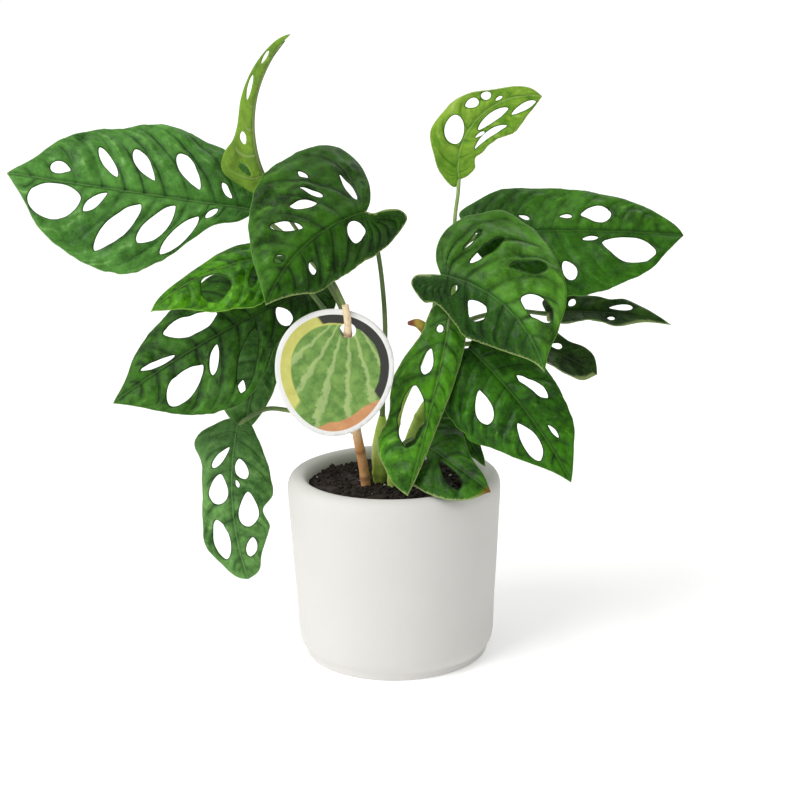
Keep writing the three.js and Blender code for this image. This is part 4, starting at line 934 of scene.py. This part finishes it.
def leaf_skin(tint, deep, light, vein_and_highlight, beneath, roughness, evenness, creasing):
    """Waxy skin, clouded from deep to light, with painted shade in its creases, vein valleys and midrib
    groove, round its holes, on a shaded half and towards its stalk, and painted highlights on its panels
    and a lit half.
    """
    finish = Finish("leaf_skin_" + tint)
    along, across = finish.mark("along"), finish.mark("across")
    edge, margin, veins = finish.mark("edge"), finish.mark("margin"), finish.mark("veins")
    flat = finish.flat_place(along, across)
    side = abs(across)
    panel = finish.node("ShaderNodeMath", {"operation": "FRACT"}, {0: veins})
    off_vein = 0.5 - abs(panel - 0.5)
    faint = finish.ramp(finish.mottle(36, 2), 0.38, 0.6, 0.25, 1) * finish.ramp(margin, 2, 6)
    # crease: a narrow band over each side vein, painted in shade on the upper side, sunk in the relief and
    # drawn as a pale line on the back
    crease = finish.ramp(off_vein, 0.02, 0.09, 1, 0) * faint * creasing
    valley_shade = finish.ramp(off_vein, 0.0, 0.3, 1, 0) * faint * creasing
    midrib = finish.ramp(side, 0.25, 0.6, 1, 0)
    groove = finish.ramp(side, 0.6, 2.6, 1, 0)
    cells = finish.node("ShaderNodeTexVoronoi", {"feature": "DISTANCE_TO_EDGE"}, {
        "Vector": flat, "Scale": 0.3})
    net = finish.ramp(cells, 0.02, 0.14, 1, 0)
    streaks = finish.mottle(1, 4, 0.6, finish.flat_place(veins * 2.6, side * 0.09))
    clouds = finish.mottle(34, 4, 0.6)
    blotches = finish.mottle(150, 4, 0.65)
    specks = finish.mottle(0.75, 3, 0.6, flat)
    mixed = clouds * 0.4 + streaks * 0.25 + blotches * 0.35
    panel_highlight = finish.ramp(off_vein, 0.12, 0.4) * finish.ramp(side, 3, 12)
    # the colour of painted shade
    painted_shade = dimmed(deep, 0.4)
    half_shading = finish.mark("half_shading")
    body = finish.blend(finish.ramp(mixed, 0.48 - evenness, 0.5 + evenness), deep, light)
    # painted highlight: streaks of the pale vein colour on the crowns of the panels between the veins
    body = finish.blend(finish.ramp(streaks + blotches * 0.5, 0.8, 1.0) * panel_highlight * 0.5, body, vein_and_highlight)
    # painted light on a half whose value is above zero, and painted shade on a half below zero
    body = finish.blend(finish.ramp(half_shading, 0, 1) * finish.ramp(mixed, 0.3, 0.65), body, vein_and_highlight)
    body = finish.blend(finish.ramp(half_shading, -1, 0, 1, 0) * 0.7, body, deep)
    # painted shade over the blade towards its stalk end
    body = finish.blend(finish.ramp(along, 0, 55, 0.45, 0), body, deep)
    # painted shade in the valleys beside the side veins and in the groove along the midrib
    body = finish.blend(valley_shade * 0.5 + groove * 0.45, body, deep)
    body = finish.blend(net * 0.1, body, light)
    # painted shade in the creases over the side veins
    body = finish.blend(crease * 0.45, body, painted_shade)
    body = finish.blend(midrib * 0.18, body, vein_and_highlight)
    # painted shade along the rims of the holes, and along the margin under the pale line painted next
    body = finish.blend(finish.ramp(edge, 0.35, 1.0, 0.7, 0), body, painted_shade)
    body = finish.blend(finish.ramp(margin, 0.3, 0.7, 0.6, 0), body, vein_and_highlight)
    body = finish.blend(finish.mark("rolled") * 0.8, body, hue(166, 180, 116))
    back = finish.blend(finish.ramp(mixed, 0.36, 0.62), beneath, light)
    # painted shade in the valleys on the back as well
    back = finish.blend(valley_shade * 0.4, back, deep)
    back = finish.blend(crease * 0.4 + midrib * 0.4, back, vein_and_highlight)
    colour = finish.blend(finish.mark("under"), body, back)
    colour = finish.blend(finish.mark("dry"), colour, hue(132, 74, 22))
    height = cells * 0.3 + specks * 0.3 + blotches * 0.6 + streaks * 0.5 - crease * 0.6 - groove * 0.3
    sheen = roughness + specks * 0.1 + blotches * 0.12 + finish.mark("under") * 0.15
    return finish.wear(
        Base_Color=colour, Roughness=sheen, Normal=finish.relief(height, 0.6), Specular_IOR_Level=0.2,
        Subsurface_Weight=0.1, Subsurface_Radius=(0.3, 0.6, 0.12), Subsurface_Scale=0.003)


def stalk_skin(name, deep, light):
    finish = Finish(name)
    lengths = finish.mottle(30, 3)
    fibres = finish.mottle(900, 3, 0.6)
    colour = finish.blend(finish.ramp(lengths, 0.35, 0.65), deep, light)
    colour = finish.blend(fibres * 0.3, colour, dimmed(deep, 0.6))
    bumps = finish.relief(fibres, 0.1)
    return finish.wear(Base_Color=colour, Roughness=0.42 + fibres * 0.2, Normal=bumps)


leaf_stalk = stalk_skin("leaf_stalk", hue(66, 98, 36), hue(116, 136, 70))
young_stalk = stalk_skin("young_stalk", hue(130, 158, 84), hue(172, 190, 128))
skins = {}
for tint, (deep, light, vein_and_highlight, beneath, *rest) in TINTS.items():
    skins[tint] = leaf_skin(tint, hue(*deep), hue(*light), hue(*vein_and_highlight), hue(*beneath), *rest)


def joined(name, pieces):
    """One piece of several, with all their materials and marks kept."""
    with bpy.context.temp_override(active_object=pieces[0], selected_editable_objects=pieces):
        bpy.ops.object.join()
    pieces[0].name = name
    return pieces[0]


def whole_leaf(leaf):
    """A blade, and the stalk that swells in a knee at its base and runs on under it."""
    young = leaf["name"].endswith("young")
    bend = BladeBend(leaf)
    corners, faces, marks = blade_mesh(leaf, bend)
    blade = piece_from(leaf["name"] + "_blade", corners, faces, skins[leaf["tint"]])
    for mark, values in marks.items():
        mark_points(blade, mark, values)
    rib = np.array(RIB_SHARES) * bend.length
    sunk = np.interp(rib, [0, bend.length], RIB_SUNK)[:, None]
    under_rib = bend.laid(rib, rib * 0) - bend.facing(rib, rib * 0 + 0.01) * sunk
    path = smooth_path(leaf["stalk"] + under_rib.tolist(), STALK_STEP)
    knee = np.exp(-(np.linalg.norm(path - bend.base, axis=1) / KNEE_LENGTH) ** 2)
    radii = spread(STALK_RADII, len(path)) * (YOUNG_STALK_SHARE if young else 1)
    material = young_stalk if leaf["tint"] == "bright_young" else leaf_stalk
    radii = radii * (1 + KNEE_SWELLING * knee)
    stalk = tube_along(leaf["name"] + "_stalk", path, radii, STALK_SIDES, material)
    return joined(leaf["name"] + "_grown", [blade, stalk])


for leaf in LEAVES:
    grown_leaf = whole_leaf(leaf)
    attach(grown_leaf, "root")
    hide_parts(leaf["name"])

# ---------------------------------------------------------------------------------------------------
# New shoot. The next leaf, still rolled tight in its dry golden-brown sheath at the end of its stem.
# ---------------------------------------------------------------------------------------------------
SHOOT_PATH = [[24, -15, 222], [21, -18, 229], [17, -22, 233], [11, -24, 233.5]]
SHOOT_RADII = [2.2, 3.2, 3.4, 2.8, 1.2]
SHOOT_STEP = 0.8
SHOOT_SIDES = 16


def dry_sheath():
    """Papery and streaked: brown at the tip, then gold, and still green where it leaves its stem."""
    finish = Finish("dry_sheath")
    streaks = finish.mottle(420, 4, 0.7)
    stemward = finish.measure(finish.place(), "X")
    colour = finish.blend(
        finish.ramp(stemward + streaks * 0.003, 0.015, 0.019), hue(128, 64, 30), hue(196, 170, 66))
    colour = finish.blend(finish.ramp(stemward, 0.019, 0.024), colour, hue(140, 168, 62))
    colour = finish.blend(streaks * 0.3, colour, hue(88, 58, 26))
    bumps = finish.relief(streaks, 0.3)
    return finish.wear(Base_Color=colour, Roughness=0.5 + streaks * 0.2, Normal=bumps)


shoot_line = smooth_path(SHOOT_PATH, SHOOT_STEP)
shoot_radii = spread(SHOOT_RADII, len(shoot_line))
shoot = tube_along("rolled_shoot", shoot_line, shoot_radii, SHOOT_SIDES, dry_sheath())
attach(shoot, "root")
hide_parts("new_shoot")

# ---------------------------------------------------------------------------------------------------
# Plant tag. A rounded printed card with a white border and a punched hole, hung on the woody stem.
# The print is a plain abstract one: pale rays on green, with arcs of gold, black and clay at the edge.
# ---------------------------------------------------------------------------------------------------
TAG_WIDTH = 75
TAG_HEIGHT = 86
TAG_THICKNESS = 1.2
TAG_NARROWING = 0.1
TAG_BOW = 0.0004
TAG_CORNERS = 160
TAG_GRID = 2
TAG_GRID_CLEARANCE = 0.8
TAG_HOLE = [6.5, 29.5]
TAG_HOLE_RADIUS = 5.2
TAG_HOLE_CORNERS = 40
TAG_HANGS_AT = [-27, -62, 237]
TAG_LEAN = 98
TAG_SWING = -5.5


def printed_card():
    """Coated paper with a white border. The rays fan out from the top of the card."""
    finish = Finish("printed_card")
    x, y, edge = finish.mark("card_x"), finish.mark("card_y"), finish.mark("edge")
    grain = finish.mottle(0.12, 4, 0.6, finish.flat_place(x, y))
    wobble = (grain - 0.5) * 5
    ragged = edge + wobble * 0.3
    around = finish.node("ShaderNodeMath", {"operation": "ARCTAN2"}, {0: x - 6, 1: 44 - y})
    rays = finish.node("ShaderNodeMath", {"operation": "SINE"}, {0: around * 24 + wobble})
    field = finish.blend(finish.ramp(grain, 0.3, 0.7), hue(76, 122, 40), hue(124, 162, 74))
    field = finish.blend(finish.ramp(rays, 0.4, 1.0) * 0.5, field, hue(190, 208, 140))
    clay = (9.5, y - x * 0.6, [-34, -32, 1, 0], hue(168, 104, 62), hue(228, 170, 114))
    gold = (9.5, x - y * 0.5, [-12, -9, 1, 0], hue(168, 168, 56), hue(224, 220, 130))
    black = (8.5, y + x * 1.2, [20, 23, 0, 1], hue(22, 22, 20), hue(50, 50, 44))
    for depth, slope, ends, dark, pale in (clay, gold, black):
        arc = finish.ramp(ragged, depth, depth + 1, 1, 0) * finish.ramp(slope, *ends)
        field = finish.blend(arc, field, finish.blend(grain, dark, pale))
    paper = finish.blend(finish.ramp(edge, 3.2, 3.5, 1, 0), field, hue(230, 230, 227))
    paper = finish.blend(finish.mark("under"), paper, hue(228, 226, 218))
    fibres = finish.mottle(1200, 4, 0.7)
    bumps = finish.relief(fibres, 0.03)
    return finish.wear(Base_Color=paper, Roughness=0.5 + fibres * 0.15, Normal=bumps)


def hanging_tag():
    """The card cut flat with its hole, bowed a little, and hung by the hole."""
    angle = np.linspace(0, 2 * math.pi, TAG_CORNERS, endpoint=False)
    narrowing = 1 + TAG_NARROWING * np.sin(angle)
    outline = np.stack([TAG_WIDTH / 2 * narrowing * np.cos(angle), TAG_HEIGHT / 2 * np.sin(angle)], 1)
    turn = np.linspace(0, 2 * math.pi, TAG_HOLE_CORNERS, endpoint=False)
    hole = TAG_HOLE + TAG_HOLE_RADIUS * np.stack([np.cos(turn), np.sin(turn)], 1)
    x, y = np.meshgrid(np.arange(-18, 19) * TAG_GRID, np.arange(-21, 22) * TAG_GRID)
    grid = np.stack([x.ravel(), y.ravel()], 1)
    flat, triangles = cut_sheet([outline, hole], grid, TAG_GRID_CLEARANCE)
    bow = TAG_BOW * flat[:, 0] ** 2
    front = np.column_stack([flat, bow + TAG_THICKNESS / 2])
    back = np.column_stack([flat, bow - TAG_THICKNESS / 2])
    lean = Matrix.Rotation(math.radians(TAG_LEAN), 3, "X")
    swing = Matrix.Rotation(math.radians(TAG_SWING), 3, "Z")
    corners = (np.vstack([front, back]) - [*TAG_HOLE, 0]) @ np.array(lean @ swing).T + TAG_HANGS_AT
    tag = piece_from("printed_tag", corners, sheet_faces(triangles, len(flat)), printed_card())
    mark_points(tag, "card_x", np.tile(flat[:, 0], 2))
    mark_points(tag, "card_y", np.tile(flat[:, 1], 2))
    mark_points(tag, "edge", np.tile(edge_distance(flat, [outline]), 2))
    mark_points(tag, "under", np.repeat([0, 1], len(flat)))
    return tag


tag = hanging_tag()
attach(tag, "root")
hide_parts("tag")

# ---------------------------------------------------------------------------------------------------
# Studio. A plain pale floor in a white room that is brighter above and on the left. A wide soft light
# shines from the upper left in front, a weak one from behind on the right, and the camera stands a
# little above the leaves and looks slightly down.
# ---------------------------------------------------------------------------------------------------
WHITE = hue(255, 255, 255)
FLOOR_GLOW = 0.27
BACKDROP_STRENGTH = 1.02
LIGHTS_AIM = (0, 0, 0.2)
CAMERA_LENS = 70.24
CAMERA_PLACE = (0.005, -1.02, 0.431)
CAMERA_DIP = 14.03
CAMERA_ROLL = -0.9

scene.view_settings.view_transform = "Standard"

bpy.ops.mesh.primitive_plane_add(size=90)
floor = bpy.context.object
floor.name = "pale_floor"
paint = Finish("pale_floor")
paint_colour = paint.blend(paint.mottle(3, 2), hue(240, 240, 239), hue(246, 246, 245))
floor.data.materials.append(paint.wear(
    Base_Color=paint_colour, Roughness=0.8, Emission_Color=WHITE, Emission_Strength=FLOOR_GLOW))

air = bpy.data.worlds.new("white_room")
air.use_nodes = True
sky = Board(air.node_tree)
outlook = sky.node("ShaderNodeTexCoord")
height, rightward = sky.measure(outlook, "Z"), sky.measure(outlook, "X")
lit = sky.node("ShaderNodeMapRange", {}, {0: height, 1: -0.2, 2: 0.9, 3: 0.12, 4: 0.95})
lit = lit * sky.node("ShaderNodeMapRange", {}, {0: rightward, 1: -0.6, 2: 0.8, 3: 1.15, 4: 0.45})
in_view = sky.node("ShaderNodeLightPath", output="Is Camera Ray")
background = air.node_tree.nodes["Background"]
sky.plug(background.inputs["Strength"], lit + in_view * (BACKDROP_STRENGTH - lit))
sky.plug(background.inputs["Color"], WHITE)
scene.world = air


def soft_light(name, place, softness, strength):
    """A light as wide as a big studio lamp, that shines evenly from a place towards the pot."""
    light = bpy.data.lights.new(name, "SUN")
    light.angle = math.radians(softness)
    light.energy = strength
    lamp = bpy.data.objects.new(name, light)
    lamp.location = place
    lamp.rotation_euler = (Vector(LIGHTS_AIM) - Vector(place)).to_track_quat("-Z", "Y").to_euler()
    scene.collection.objects.link(lamp)


soft_light("key_light", (-1.3, -1.0, 1.7), 34, 1.75)
soft_light("back_light", (0.8, 1.2, 1.5), 30, 0.4)

lens = bpy.data.cameras.new("camera")
lens.sensor_width = 36
lens.lens = CAMERA_LENS
lens.clip_start = 0.05
camera = bpy.data.objects.new("camera", lens)
tilt = Matrix.Rotation(math.radians(90 - CAMERA_DIP), 4, "X")
roll = Matrix.Rotation(math.radians(CAMERA_ROLL), 4, "Z")
camera.matrix_world = Matrix.Translation(CAMERA_PLACE) @ tilt @ roll
scene.collection.objects.link(camera)
scene.camera = camera
